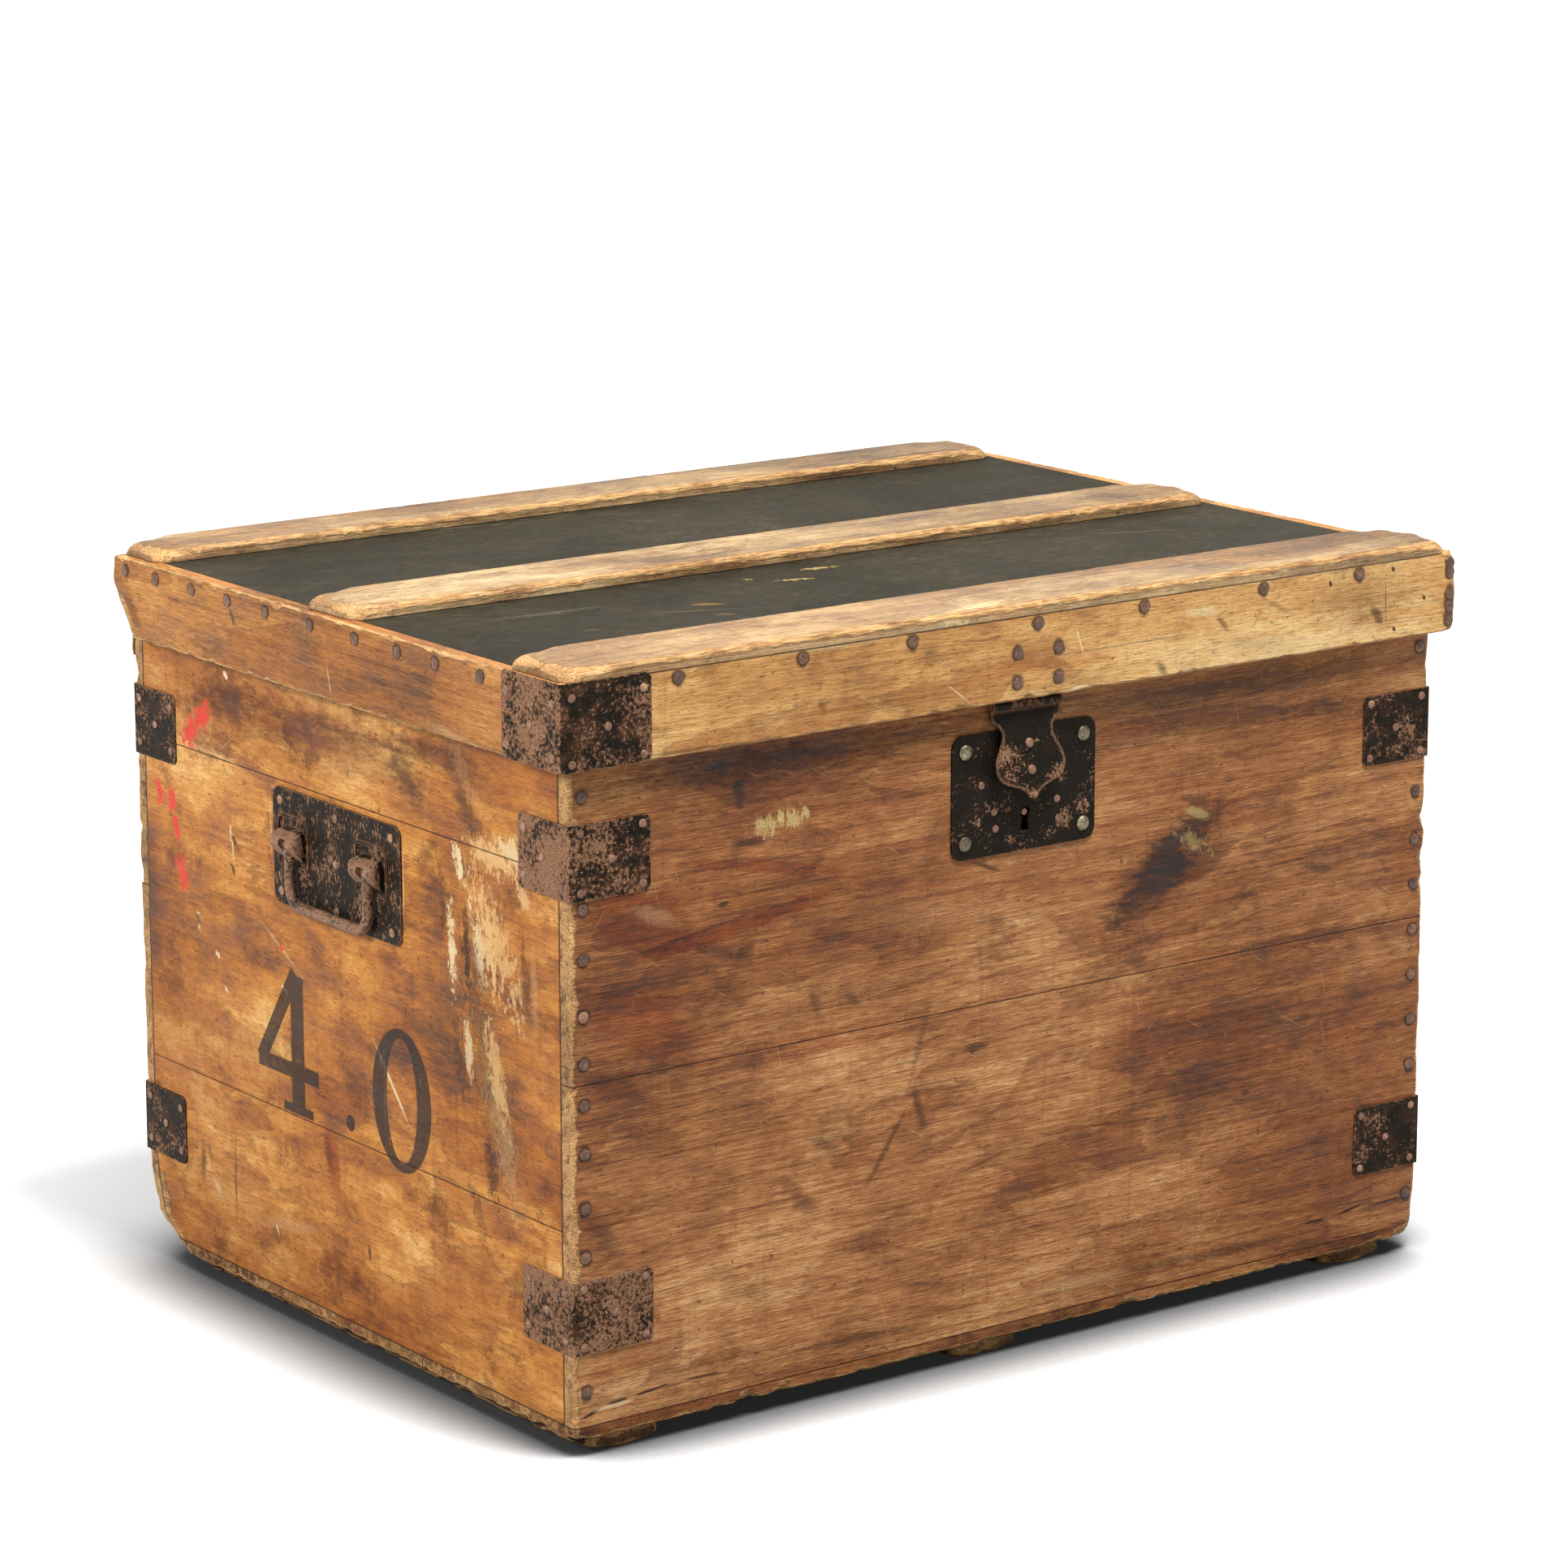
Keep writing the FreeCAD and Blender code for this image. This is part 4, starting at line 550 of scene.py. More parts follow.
# %% Marks on the left end
LEFT_MARKS = [
    # These four rows darken the top strip under the lid's rim: partly old varnish and dirt, partly
    # painted shadow of the rim. The thin fourth row is painted shade in the gap under the rim.
    (180, 850, 640, 985, 40, DARK_BROWN, 0.72, 0.9),
    (180, 850, 640, 985, 60, VARNISH, 0.60, 0.9),
    (470, 900, 640, 985, 20, DARK_BROWN, 0.60, 0.6),
    (150, 815, 680, 985, 9, DARK_BROWN, 0.75, 0.9),
    (600, 1040, 660, 1060, 14, CREAM, 0.70, 0.3, 2.8),
    (575, 1070, 640, 1250, 26, RAW_WOOD, 0.70, 0.3, 3.4),
    (590, 1250, 640, 1500, 22, RAW_WOOD, 0.55, 0.3, 3.6),
    (580, 1100, 600, 1240, 10, CREAM, 0.85, 0.3, 3.2),
    (560, 1120, 640, 1480, 30, BLACK_DIRT_AND_SHADE, 0.60, 0.4, 3.6),
    (575, 1440, 600, 1530, 9, BLACK_DIRT_AND_SHADE, 0.55, 0.4, 2.8),
    (175, 900, 200, 1320, 26, DARK_BROWN, 0.65, 0.9),
    (185, 1380, 235, 1480, 30, DARK_BROWN, 0.60, 0.9),
    (170, 830, 420, 880, 22, DARK_BROWN, 0.35, 0.9),
    (440, 900, 640, 950, 16, DARK_BROWN, 0.75, 0.8),
    (478, 925, 520, 990, 26, BLACK_DIRT_AND_SHADE, 0.75, 0.7, 1.6),
    (560, 960, 590, 1035, 20, BLACK_DIRT_AND_SHADE, 0.75, 0.7, 1.8),
    (350, 870, 440, 900, 9, BLACK_DIRT_AND_SHADE, 0.35, 0.8),
    (200, 835, 560, 930, 46, VARNISH, 0.75, 0.8),
    (215, 850, 330, 880, 16, DARK_BROWN, 0.60, 0.7, 1.7),
    (250, 1395, 252, 1465, 7, BLACK_DIRT_AND_SHADE, 0.75, 0.7),
    (290, 1372, 292, 1535, 3, BLACK_DIRT_AND_SHADE, 0.65, 0.6),
    (256, 1395, 262, 1445, 6, BLACK_DIRT_AND_SHADE, 0.50, 0.7),
    (406, 1385, 414, 1465, 16, RED_BROWN, 0.95, 0.5),
    (400, 1395, 408, 1440, 9, DARK_BROWN, 0.60, 0.6),
    (496, 1240, 505, 1330, 22, RED_BROWN, 0.65, 0.8),
    (320, 1405, 332, 1440, 9, RED_BROWN, 0.60, 0.6),
    (455, 1535, 457, 1558, 3.5, BLACK_DIRT_AND_SHADE, 0.75, 0.5),
    (380, 1540, 470, 1590, 10, RED_BROWN, 0.40, 0.7),
    (560, 1060, 645, 1480, 40, DARK_BROWN, 0.35, 0.9),
    (572, 1095, 578, 1245, 7, BLACK_DIRT_AND_SHADE, 0.85, 0.5, 2.4),
    (560, 1240, 575, 1370, 12, BLACK_DIRT_AND_SHADE, 0.70, 0.5, 2.6),
    (640, 1130, 655, 1290, 9, BLACK_DIRT_AND_SHADE, 0.60, 0.5, 2.4),
    (600, 1380, 612, 1500, 12, BLACK_DIRT_AND_SHADE, 0.80, 0.5, 2.6),
    (540, 1040, 550, 1180, 7, BLACK_DIRT_AND_SHADE, 0.60, 0.5, 2.6),
    (560, 1040, 570, 1085, 9, CREAM, 0.95, 0.3, 2.2),
    (575, 1035, 635, 1078, 16, RAW_WOOD, 0.85, 0.3, 2.6),
    (553, 1090, 560, 1240, 8, CREAM, 0.90, 0.3, 2.7),
    (592, 1090, 612, 1240, 13, RAW_WOOD, 0.75, 0.3, 2.8),
    (640, 1090, 650, 1120, 10, RAW_WOOD, 0.75, 0.3, 2.4),
    (600, 1250, 625, 1400, 14, RAW_WOOD, 0.65, 0.3, 2.9),
    (575, 1250, 580, 1330, 7, CREAM, 0.65, 0.3, 2.9),
    (550, 900, 600, 1030, 12, RAW_WOOD, 0.14, 0.4, 2.8),
    (655, 1120, 662, 1340, 8, RAW_WOOD, 0.25, 0.8),
    (300, 1105, 392, 1230, 2.2, CREAM, 0.45, 0.8),
    (472, 1235, 476, 1460, 2.0, CREAM, 0.55, 0.7),
    (450, 1257, 516, 1415, 2.6, CREAM, 0.80, 0.5),
    (262, 1448, 274, 1474, 8, CREAM, 0.45, 0.9),
    (300, 1500, 420, 1520, 9, DUSTY, 0.35, 0.7),
    (340, 1505, 345, 1525, 1.5, CREAM, 0.80, 0.4),
    (332, 957, 336, 1090, 1.0, CREAM, 0.60, 0.5),
    (496, 1020, 498, 1170, 1.0, CREAM, 0.75, 0.5),
    (200, 900, 330, 960, 2.0, CREAM, 0.40, 0.8),
    (283, 1012, 290, 1072, 2.5, CREAM, 0.85, 0.3, 2.6),
    (243, 1120, 247, 1148, 3.0, CREAM, 0.80, 0.3, 2.6),
    (266, 1172, 273, 1183, 4.0, CREAM, 1.0, 0.2, 2.2),
    (346, 1212, 353, 1224, 3.4, CREAM, 1.0, 0.2, 2.2),
    (276, 1214, 282, 1225, 2.6, CREAM, 1.0, 0.2, 2.2),
    (276, 829, 281, 838, 3.0, CREAM, 1.0, 0.2, 2.2),
    (286, 1030, 290, 1040, 4.0, BLACK_DIRT_AND_SHADE, 0.9, 0.3, 2.2),
    (285, 1064, 289, 1076, 4.0, BLACK_DIRT_AND_SHADE, 0.9, 0.3, 2.2),
    (243, 1128, 247, 1140, 4.0, BLACK_DIRT_AND_SHADE, 0.9, 0.3, 2.2),
    (228, 908, 242, 892, 16, RED_PAPER, 1.0, 0.2, 2.3),
    (240, 893, 254, 876, 13, RED_PAPER, 1.0, 0.2, 2.3),
    (193, 960, 199, 988, 10, RED_PAPER, 1.0, 0.2, 2.2),
    (210, 974, 213, 1002, 9, RED_PAPER, 1.0, 0.2, 2.2),
    (213, 1000, 221, 1034, 8, RED_PAPER, 1.0, 0.2, 2.2),
    (222, 1060, 229, 1092, 12, RED_PAPER, 1.0, 0.2, 2.6),
    (344, 1166, 350, 1171, 2.4, RED_PAPER, 0.95, 0.2, 2.2),
]
print("marks on the left end:", len(LEFT_MARKS))

# %% Marks on the lid's rims
LID_FRONT_MARKS = [
    (1195, 748, 1213, 772, 0.9, BLACK_DIRT_AND_SHADE, 1.0, 0.3),
    (1325, 770, 1337, 812, 1.4, CREAM, 0.8, 0.4),
    (1160, 838, 1200, 870, 1.0, CREAM, 0.7, 0.4),
    (1213, 872, 1217, 893, 2.2, BLACK_DIRT_AND_SHADE, 0.8, 0.4),
    (1450, 757, 1515, 750, 6.0, CREAM, 0.55, 0.5, 1.8),
    (1707, 695, 1708, 780, 0.8, BLACK_DIRT_AND_SHADE, 0.7, 0.3),
    (900, 815, 1150, 780, 3.0, CREAM, 0.35, 0.8),
    (1425, 815, 1440, 835, 6.0, BLACK_DIRT_AND_SHADE, 0.7, 0.6),
    (1130, 830, 1420, 800, 14.0, RED_BROWN, 0.55, 0.9),
    (1240, 850, 1400, 830, 10.0, DARK_BROWN, 0.45, 0.8),
    (1440, 800, 1640, 790, 16.0, DARK_BROWN, 0.40, 0.9),
    (1600, 745, 1750, 730, 34.0, DARK_BROWN, 0.60, 0.9),
    (1620, 770, 1750, 755, 20.0, VARNISH, 0.60, 0.9),
    (1550, 735, 1600, 760, 4.0, DARK_BROWN, 0.6, 0.6),
    (1690, 745, 1702, 770, 7.0, BLACK_DIRT_AND_SHADE, 0.75, 0.6),
    (1500, 760, 1515, 778, 4.0, BLACK_DIRT_AND_SHADE, 0.6, 0.5),
    (730, 940, 1000, 905, 3.0, BLACK_DIRT_AND_SHADE, 0.6, 0.5),
    (1315, 850, 1345, 845, 2.5, CREAM, 0.8, 0.3),
    (1560, 740, 1540, 780, 1.0, DARK_BROWN, 0.5, 0.4),
    (1716, 700, 1717, 702, 2.2, BLACK_DIRT_AND_SHADE, 1.0, 0.2),
    (1754, 735, 1755, 737, 2.2, BLACK_DIRT_AND_SHADE, 1.0, 0.2),
    (1717, 774, 1718, 776, 2.2, BLACK_DIRT_AND_SHADE, 1.0, 0.2),
    (1639, 717, 1640, 722, 1.9, BLACK_DIRT_AND_SHADE, 1.0, 0.2),
    (1010, 860, 1016, 880, 5.0, DARK_BROWN, 0.6, 0.6),
]
LID_LEFT_MARKS = [
    (150, 720, 175, 780, 12, DARK_BROWN, 0.75, 0.7),
    (282, 745, 290, 775, 4, BLACK_DIRT_AND_SHADE, 0.8, 0.5),
    (265, 820, 290, 835, 6, BLACK_DIRT_AND_SHADE, 0.7, 0.5),
    (460, 880, 480, 905, 10, BLACK_DIRT_AND_SHADE, 0.55, 0.7),
    (500, 880, 610, 935, 8, RAW_WOOD, 0.45, 0.8),
    (200, 790, 420, 850, 14, RED_BROWN, 0.20, 0.9),
    (320, 830, 340, 850, 4, BLACK_DIRT_AND_SHADE, 0.6, 0.5),
    (400, 805, 410, 870, 1.5, CREAM, 0.4, 0.5),
    (160, 790, 620, 930, 3.0, DARK_BROWN, 0.6, 0.6),
    (160, 700, 600, 830, 5.0, DARK_BROWN, 0.35, 0.7),
    (470, 860, 490, 920, 3.0, BLACK_DIRT_AND_SHADE, 0.6, 0.5, 2.4),
]
print("marks on the rims:", len(LID_FRONT_MARKS) + len(LID_LEFT_MARKS))

# %% Mix the woods
front_wood = wood_finish("front_wood", "XZY", FRONT_TONES, (3.1, 1.7, 0.4),
                         spots_on("front", "XZ", FRONT_MARKS), 0.55, 1.0, 0.6,
                         mottle=0.82, grain=1.3)
left_wood = wood_finish("left_wood", "YZX", END_TONES, (7.3, 2.2, 1.9),
                        spots_on("left", "YZ", LEFT_MARKS), 0.60, 0.4, 0.5, FIGURES, 1.25, 0.6)
lid_front_wood = wood_finish("lid_front_wood", "XZY", LID_TONES, (1.3, 5.2, 0.4),
                             spots_on("lid_front", "XZ", LID_FRONT_MARKS), 0.40, 0.6, 0.5)
lid_left_wood = wood_finish("lid_left_wood", "YZX", RIM_TONES, (4.3, 8.2, 2.4),
                            spots_on("lid_left", "YZ", LID_LEFT_MARKS), 0.22, 0.4, 0.5,
                            mottle=0.8)
batten_wood = wood_finish("batten_wood", "XYZ", BATTEN_TONES, (9.1, 3.3, 1.1), (), 0.5, 0.5, 1.5)
end_wood = wood_finish("end_wood", "YZX", FRONT_TONES, (14.0, 6.1, 3.7), (), 0.5, 0.6, 0.5)
back_wood = wood_finish("back_wood", "XZY", FRONT_TONES, (21.0, 9.4, 6.3), (), 0.5, 0.9, 0.5)
lid_end_wood = wood_finish("lid_end_wood", "YZX", LID_TONES, (17.0, 2.6, 8.8), (), 0.45, 0.5, 0.5)
inner_wood = wood_finish("inner_wood", "XYZ", LID_TONES, (30.0, 4.4, 2.8), (), 0.3, 0.9, 0.3)
plank_wood = wood_finish("plank_wood", "XYZ", FRONT_TONES, (5.0, 19.0, 3.0), (), 0.9, 0.3, 0.1)
skid_wood = wood_finish("skid_wood", "YXZ", BASE_TONES, (25.0, 13.0, 9.0), (), 0.8, 0.3, 0.1)
print("wood finishes:", len([m for m in bpy.data.materials if m.name.endswith("_wood")]))

# %% [markdown]
# ## The ironwork
# Black enamel over thin iron. Where hands and road grit broke it, a pinkish brown rust has
# come through in flakes, and along every rim the enamel is gone. The Bevel node compares a
# softened normal with the true one, which finds those rims on any shape.

# %% Find the rims and rust round the spots


def rubbed_rims(tree, rim):
    """1 along a shape's rims, where the normal softened over rim parts from the true one."""
    round_edge = put(tree, "ShaderNodeBevel", {"Radius": rim}, samples=4).outputs[0]
    true = put(tree, "ShaderNodeNewGeometry").outputs["Normal"]
    same = put(tree, "ShaderNodeVectorMath", {0: round_edge, 1: true}, operation="DOT_PRODUCT")
    return between(tree, calc(tree, "SUBTRACT", 1.0, same.outputs["Value"]), 0.02, 0.20)


def rust_round(tree, place, amount, spots):
    """Each spot: its centre, how far it reaches and how much rust it adds or takes off."""
    for centre, reach, more in spots:
        local = put(tree, "ShaderNodeMapping", {"Vector": place, "Location": centre,
                                                "Scale": (reach, reach, reach)},
                    vector_type="TEXTURE").outputs[0]
        ball = put(tree, "ShaderNodeTexGradient", {0: local}, gradient_type="SPHERICAL").outputs[1]
        amount = calc(tree, "MULTIPLY_ADD", between(tree, ball, 0.0, 0.5), more, amount)
    return amount


print("rims and rust spots ready")

# %% Lay the skin of enamel and rust
RUST_DARK = tint(74, 50, 36)
ENAMEL = ((0.30, (0.0035, 0.0030, 0.0024)), (0.52, (0.0090, 0.0078, 0.0058)),
          (0.72, (0.0240, 0.0185, 0.0130)))
RUST = ((0.34, (0.085, 0.040, 0.019)), (0.50, (0.245, 0.124, 0.068)),
        (0.68, (0.440, 0.255, 0.155)))


def iron_skin(tree, fine, rusty, haze, black, rough, shine):
    """Enamel under a brown haze, and rust where it is gone. black lightens the enamel."""
    colour = tone_ramp(tree, fine, [(at, tuple(c * black for c in tone)) for at, tone in ENAMEL])
    colour = blend_colour(tree, haze, colour, RUST_DARK)
    colour = blend_colour(tree, rusty, colour, tone_ramp(tree, fine, RUST))
    height = calc(tree, "MULTIPLY_ADD", rusty, -0.6, calc(tree, "MULTIPLY", fine, 0.30))
    bump = put(tree, "ShaderNodeBump", {"Strength": 0.40, "Distance": 0.00018,
                                        "Height": height}).outputs[0]
    skin = put(tree, "ShaderNodeBsdfPrincipled",
               {"Base Color": colour, "Roughness": between(tree, rusty, 0.0, 1.0, rough, 0.62),
                "Normal": bump, "Specular IOR Level": shine,
                "Specular Tint": (1.0, 0.88, 0.74, 1.0)})
    put(tree, "ShaderNodeOutputMaterial", {"Surface": skin.outputs[0]})


print("skin of the iron ready")

# %% Mix the black iron
PROUD_BAND = 0.002


def iron_finish(name, shift, rust=0.5, side_rust=0.0, patch=(45.0, 45.0, 45.0),
                fleck=(420.0, 420.0, 420.0), film=0.3, soft=0.022, rim=0.0014, rim_rust=0.085,
                proud=None, spots=(), black=1.0, rough=0.5, gloss=0.05):
    """rust: 0 leaves one part in six rusty, 0.5 a half and 1 five parts in six. proud: how
    far from the trunk's middle a grip plate's raised hoods begin, which are rubbed bare."""
    material, tree = new_finish(name)
    coords = put(tree, "ShaderNodeTexCoord")
    place = coords.outputs["Object"]
    fine = cloudy(tree, place, (800.0, 800.0, 800.0), 4.0, 0.7, shift)
    flakes = cloudy(tree, place, fleck, 7.0, 0.74, shift)
    patches = cloudy(tree, place, patch, 6.0, 0.65, shift)
    leaf = put(tree, "ShaderNodeSeparateXYZ", {0: coords.outputs["Normal"]}).outputs[0]
    amount = calc(tree, "MULTIPLY_ADD", patches, 0.50, calc(tree, "MULTIPLY", flakes, 0.75))
    amount = calc(tree, "MULTIPLY_ADD", rubbed_rims(tree, rim), rim_rust, amount)
    amount = calc(tree, "MULTIPLY_ADD", between(tree, leaf, -0.9, -0.5, 1.0, 0.0),
                  side_rust * 0.15, amount)
    shine = gloss
    if proud:
        out = put(tree, "ShaderNodeSeparateXYZ", {0: place}).outputs[0]
        out = between(tree, calc(tree, "ABSOLUTE", out), proud, proud + PROUD_BAND)
        amount = calc(tree, "MULTIPLY_ADD", out, 0.115, amount)
        shine = calc(tree, "MULTIPLY_ADD", out, 0.30, gloss)
    amount = rust_round(tree, place, amount, spots)
    level = 0.70 - 0.15 * rust
    rusty = between(tree, amount, level - soft * 0.5, level + soft)
    haze = between(tree, cloudy(tree, place, (60.0, 60.0, 60.0), 7.0, 0.75, shift), 0.42, 0.66)
    iron_skin(tree, fine, rusty, calc(tree, "MULTIPLY", haze, film), black, rough, shine)
    return material


print("iron recipe ready")

# %% Name the irons


def rust_spots(face, rows):
    return [(tuple(place_in(face, x, y)), reach * MM, more) for x, y, reach, more in rows]


LOCK_SPOTS = [(1313, 1008, 10, 0.10), (1335, 995, 8, 0.08), (1293, 1030, 7, 0.08),
              (1222, 998, 7, 0.07), (1244, 1036, 6, 0.07), (1310, 956, 6, 0.08),
              (1338, 930, 6, 0.06), (1178, 992, 6, 0.06), (1204, 1012, 6, 0.05)]
SHIELD_SPOTS = [(1268, 914, 9, 0.12), (1271, 948, 10, 0.13), (1277, 976, 13, 0.18),
                (1258, 872, 30, -0.14), (1235, 930, 14, 0.05), (1300, 925, 12, 0.06)]
black_iron = iron_finish("black_iron", (0.0, 0.0, 0.0), 0.34, 0.42, (30.0, 30.0, 30.0),
                         (330.0, 330.0, 330.0), 0.95, 0.045)
brown_iron = iron_finish("brown_iron", (4.0, 4.0, 1.0), 0.66, 0.20, (30.0, 30.0, 30.0),
                         (330.0, 330.0, 330.0), 0.95, 0.06)
dark_iron = iron_finish("dark_iron", (6.0, 1.0, 2.0), 0.06, 0.16, (30.0, 30.0, 30.0),
                        (360.0, 360.0, 360.0), 0.5, 0.04)
lock_iron = iron_finish("lock_iron", (3.0, 1.0, 5.0), -0.22, film=0.12, rim_rust=0.05,
                        spots=rust_spots("plate", LOCK_SPOTS))
grip_iron = iron_finish("grip_iron", (8.0, 2.0, 1.0), 0.16, 0.0, (55.0, 55.0, 36.0),
                        (440.0, 440.0, 230.0), 0.25, proud=0.3845, rim_rust=0.20)
bail_iron = iron_finish("bail_iron", (5.0, 7.0, 2.0), 0.66, film=0.9, black=1.6, soft=0.04,
                        gloss=0.28, rough=0.4)
shield_iron = iron_finish("shield_iron", (2.0, 9.0, 4.0), 0.12, fleck=(520.0, 520.0, 520.0),
                          film=0.15, rim=0.0042, rim_rust=0.30,
                          spots=rust_spots("plate", SHIELD_SPOTS))
print("irons ready")

# %% [markdown]
# ### Nails, studs and steel
# A nail head is a small dome of brown iron, lighter where shoes and sacks have polished its
# middle. The lock's four studs were brass once and are grey-green now.

# %% Mix the nails, the studs and the steel


def small_metal(name, dark, middle, light, metal, rough, shift=(0, 0, 0)):
    material, tree = new_finish(name)
    place = put(tree, "ShaderNodeTexCoord").outputs["Object"]
    grain = cloudy(tree, place, (420.0, 420.0, 420.0), 5.0, 0.65, shift)
    piece = cloudy(tree, place, (38.0, 38.0, 38.0), 2.0, 0.5, shift)
    tone = calc(tree, "MULTIPLY_ADD", grain, 0.6, calc(tree, "MULTIPLY", piece, 0.4))
    colour = tone_ramp(tree, tone, [(0.36, dark[:3]), (0.50, middle[:3]), (0.66, light[:3])])
    bump = put(tree, "ShaderNodeBump", {"Strength": 0.5, "Distance": 0.0005,
                                        "Height": grain}).outputs[0]
    skin = put(tree, "ShaderNodeBsdfPrincipled",
               {"Base Color": colour, "Roughness": between(tree, grain, 0.3, 0.7, rough - 0.1,
                                                           rough + 0.15),
                "Normal": bump, "Metallic": metal})
    put(tree, "ShaderNodeOutputMaterial", {"Surface": skin.outputs[0]})
    return material


nail_iron = small_metal("nail_iron", tint(36, 24, 18), tint(84, 56, 41), tint(150, 108, 78),
                        0.15, 0.5)
rivet_rust = small_metal("rivet_rust", tint(56, 36, 26), tint(122, 84, 62), tint(182, 140, 106),
                         0.1, 0.5)
stud_brass = small_metal("stud_brass", tint(44, 40, 30), tint(98, 88, 66),
                         tint(172, 160, 126), 0.6, 0.34)
bright_steel = small_metal("bright_steel", tint(82, 76, 68), tint(140, 132, 120),
                           tint(180, 172, 160), 0.8, 0.35)
print("metal finishes ready")

# %% [markdown]
# ## The canvas
# The lid's top is canvas, painted nearly black and then worn to a dark olive grey. Its weave
# shows as a fine grid under the paint, with scuffs along the battens and a few pale flecks.
# It is seen at a low angle, where any gloss would show much of the room, so it has hardly any.

# %% Marks on the canvas
CANVAS_MARKS = [
    (847, 745, 892, 744, 7.0, tint(128, 96, 52), 0.70, 0.4),
    (880, 757, 908, 757, 5.0, tint(112, 88, 52), 0.55, 0.5),
    (950, 718, 1010, 712, 5.0, tint(30, 26, 21), 0.9, 0.4, 2.4),
    (955, 716, 1005, 712, 4.0, tint(176, 148, 92), 0.9, 0.2, 3.2),
    (914, 714, 926, 714, 3.0, tint(176, 148, 92), 0.9, 0.2, 3.0),
    (988, 702, 1030, 698, 5.0, tint(176, 148, 92), 0.9, 0.2, 3.2),
    (720, 776, 740, 776, 4.0, tint(100, 82, 52), 0.5, 0.5),
    (1000, 600, 1120, 590, 5.0, tint(40, 36, 30), 0.7, 0.5),
    (1230, 600, 1360, 620, 8.0, tint(36, 33, 28), 0.6, 0.6),
    (1200, 700, 1250, 700, 4.0, tint(40, 36, 30), 0.7, 0.5),
    (420, 660, 700, 640, 6.0, tint(104, 94, 76), 0.4, 0.8),
    (560, 770, 800, 740, 7.0, tint(106, 96, 78), 0.4, 0.8),
    (720, 760, 1000, 745, 1.0, tint(130, 116, 92), 0.5, 0.5),
    (1300, 660, 1500, 650, 4.0, tint(104, 92, 70), 0.5, 0.7),
]
print("marks on the canvas:", len(CANVAS_MARKS))

# %% Mix the painted canvas


def canvas_finish():
    material, tree = new_finish("painted_canvas")
    place = put(tree, "ShaderNodeTexCoord").outputs["Object"]
    broad = cloudy(tree, place, (7.0, 9.0, 1.0), 5.0, 0.6)
    cloud = cloudy(tree, place, (40.0, 60.0, 1.0), 6.0, 0.65)
    fine = cloudy(tree, place, (150.0, 300.0, 1.0), 7.0, 0.8)
    warp = put(tree, "ShaderNodeTexWave", {"Vector": place, "Scale": 420.0, "Distortion": 0.4},
               bands_direction="X").outputs["Fac"]
    weft = put(tree, "ShaderNodeTexWave", {"Vector": place, "Scale": 420.0, "Distortion": 0.4},
               bands_direction="Y").outputs["Fac"]
    weave = calc(tree, "MULTIPLY", warp, weft)
    tone = calc(tree, "MULTIPLY_ADD", broad, 0.34, calc(tree, "MULTIPLY", cloud, 0.30))
    tone = calc(tree, "MULTIPLY_ADD", fine, 0.46, tone)
    colour = tone_ramp(tree, tone, [(0.42, (0.006, 0.005, 0.003)), (0.51, (0.018, 0.0155, 0.0100)),
                                    (0.60, (0.036, 0.030, 0.019)), (0.72, (0.092, 0.073, 0.043))])
    colour = blend_colour(tree, calc(tree, "MULTIPLY", weave, 0.12), colour, tint(132, 120, 96))
    crack = between(tree, cloudy(tree, place, (9.0, 150.0, 1.0), 8.0, 0.75, (3.0, 8.0, 0.0)),
                    0.60, 0.66, 0.0, 0.7)
    colour = blend_colour(tree, crack, colour, tint(26, 23, 19))
    scuff = between(tree, cloudy(tree, place, (14.0, 90.0, 1.0), 7.0, 0.7), 0.62, 0.74, 0.0, 0.45)
    colour = blend_colour(tree, scuff, colour, tint(118, 98, 66))
    hole = between(tree, cloudy(tree, place, (60.0, 90.0, 1.0), 4.0, 0.6), 0.68, 0.74, 0.0, 0.7)
    colour = blend_colour(tree, hole, colour, tint(30, 26, 22))
    ragged = calc(tree, "SUBTRACT", cloudy(tree, place, (90.0, 160.0, 1.0), 6.0, 0.7), 0.5)
    flaky = calc(tree, "SUBTRACT", cloudy(tree, place, (230.0, 260.0, 1.0), 7.0, 0.8), 0.5)
    for spot in spots_on("lid_top", "XY", CANVAS_MARKS):
        colour = mark(tree, colour, place, (ragged, flaky), spot)
    height = calc(tree, "MULTIPLY_ADD", weave, 0.5, calc(tree, "MULTIPLY", cloud, 0.8))
    bump = put(tree, "ShaderNodeBump", {"Strength": 0.5, "Distance": 0.0006,
                                        "Height": height}).outputs[0]
    skin = put(tree, "ShaderNodeBsdfPrincipled",
               {"Base Color": colour, "Roughness": between(tree, cloud, 0.3, 0.7, 0.46, 0.66),
                "Normal": bump, "Specular IOR Level": 0.04,
                "Specular Tint": (1.0, 0.92, 0.80, 1.0)})
    put(tree, "ShaderNodeOutputMaterial", {"Surface": skin.outputs[0]})
    return material


canvas = canvas_finish()
print("canvas ready")

# %% [markdown]
# ## Worn boards
# The model's boards have true sizes and sharp edges. A travelled board has neither edge nor
# corner left sharp, so each board that shows is built again here on its own box: a closed
# grid, fine near the edges, whose edges are rolled over by a radius that wanders along the
# board and jumps where a chip has broken out.

# %% Grid lines that crowd towards the edges


def crowded(low, high, fine, reach, coarse):
    if high - low <= reach * 2:
        return np.linspace(low, high, max(int(round((high - low) / fine)), 2) + 1)
    near = np.arange(0, reach, fine)
    middle = np.linspace(low + reach, high - reach,
                         max(int(round((high - low - reach * 2) / coarse)), 1) + 1)
    return np.concatenate([low + near, middle, (high - near)[::-1]])


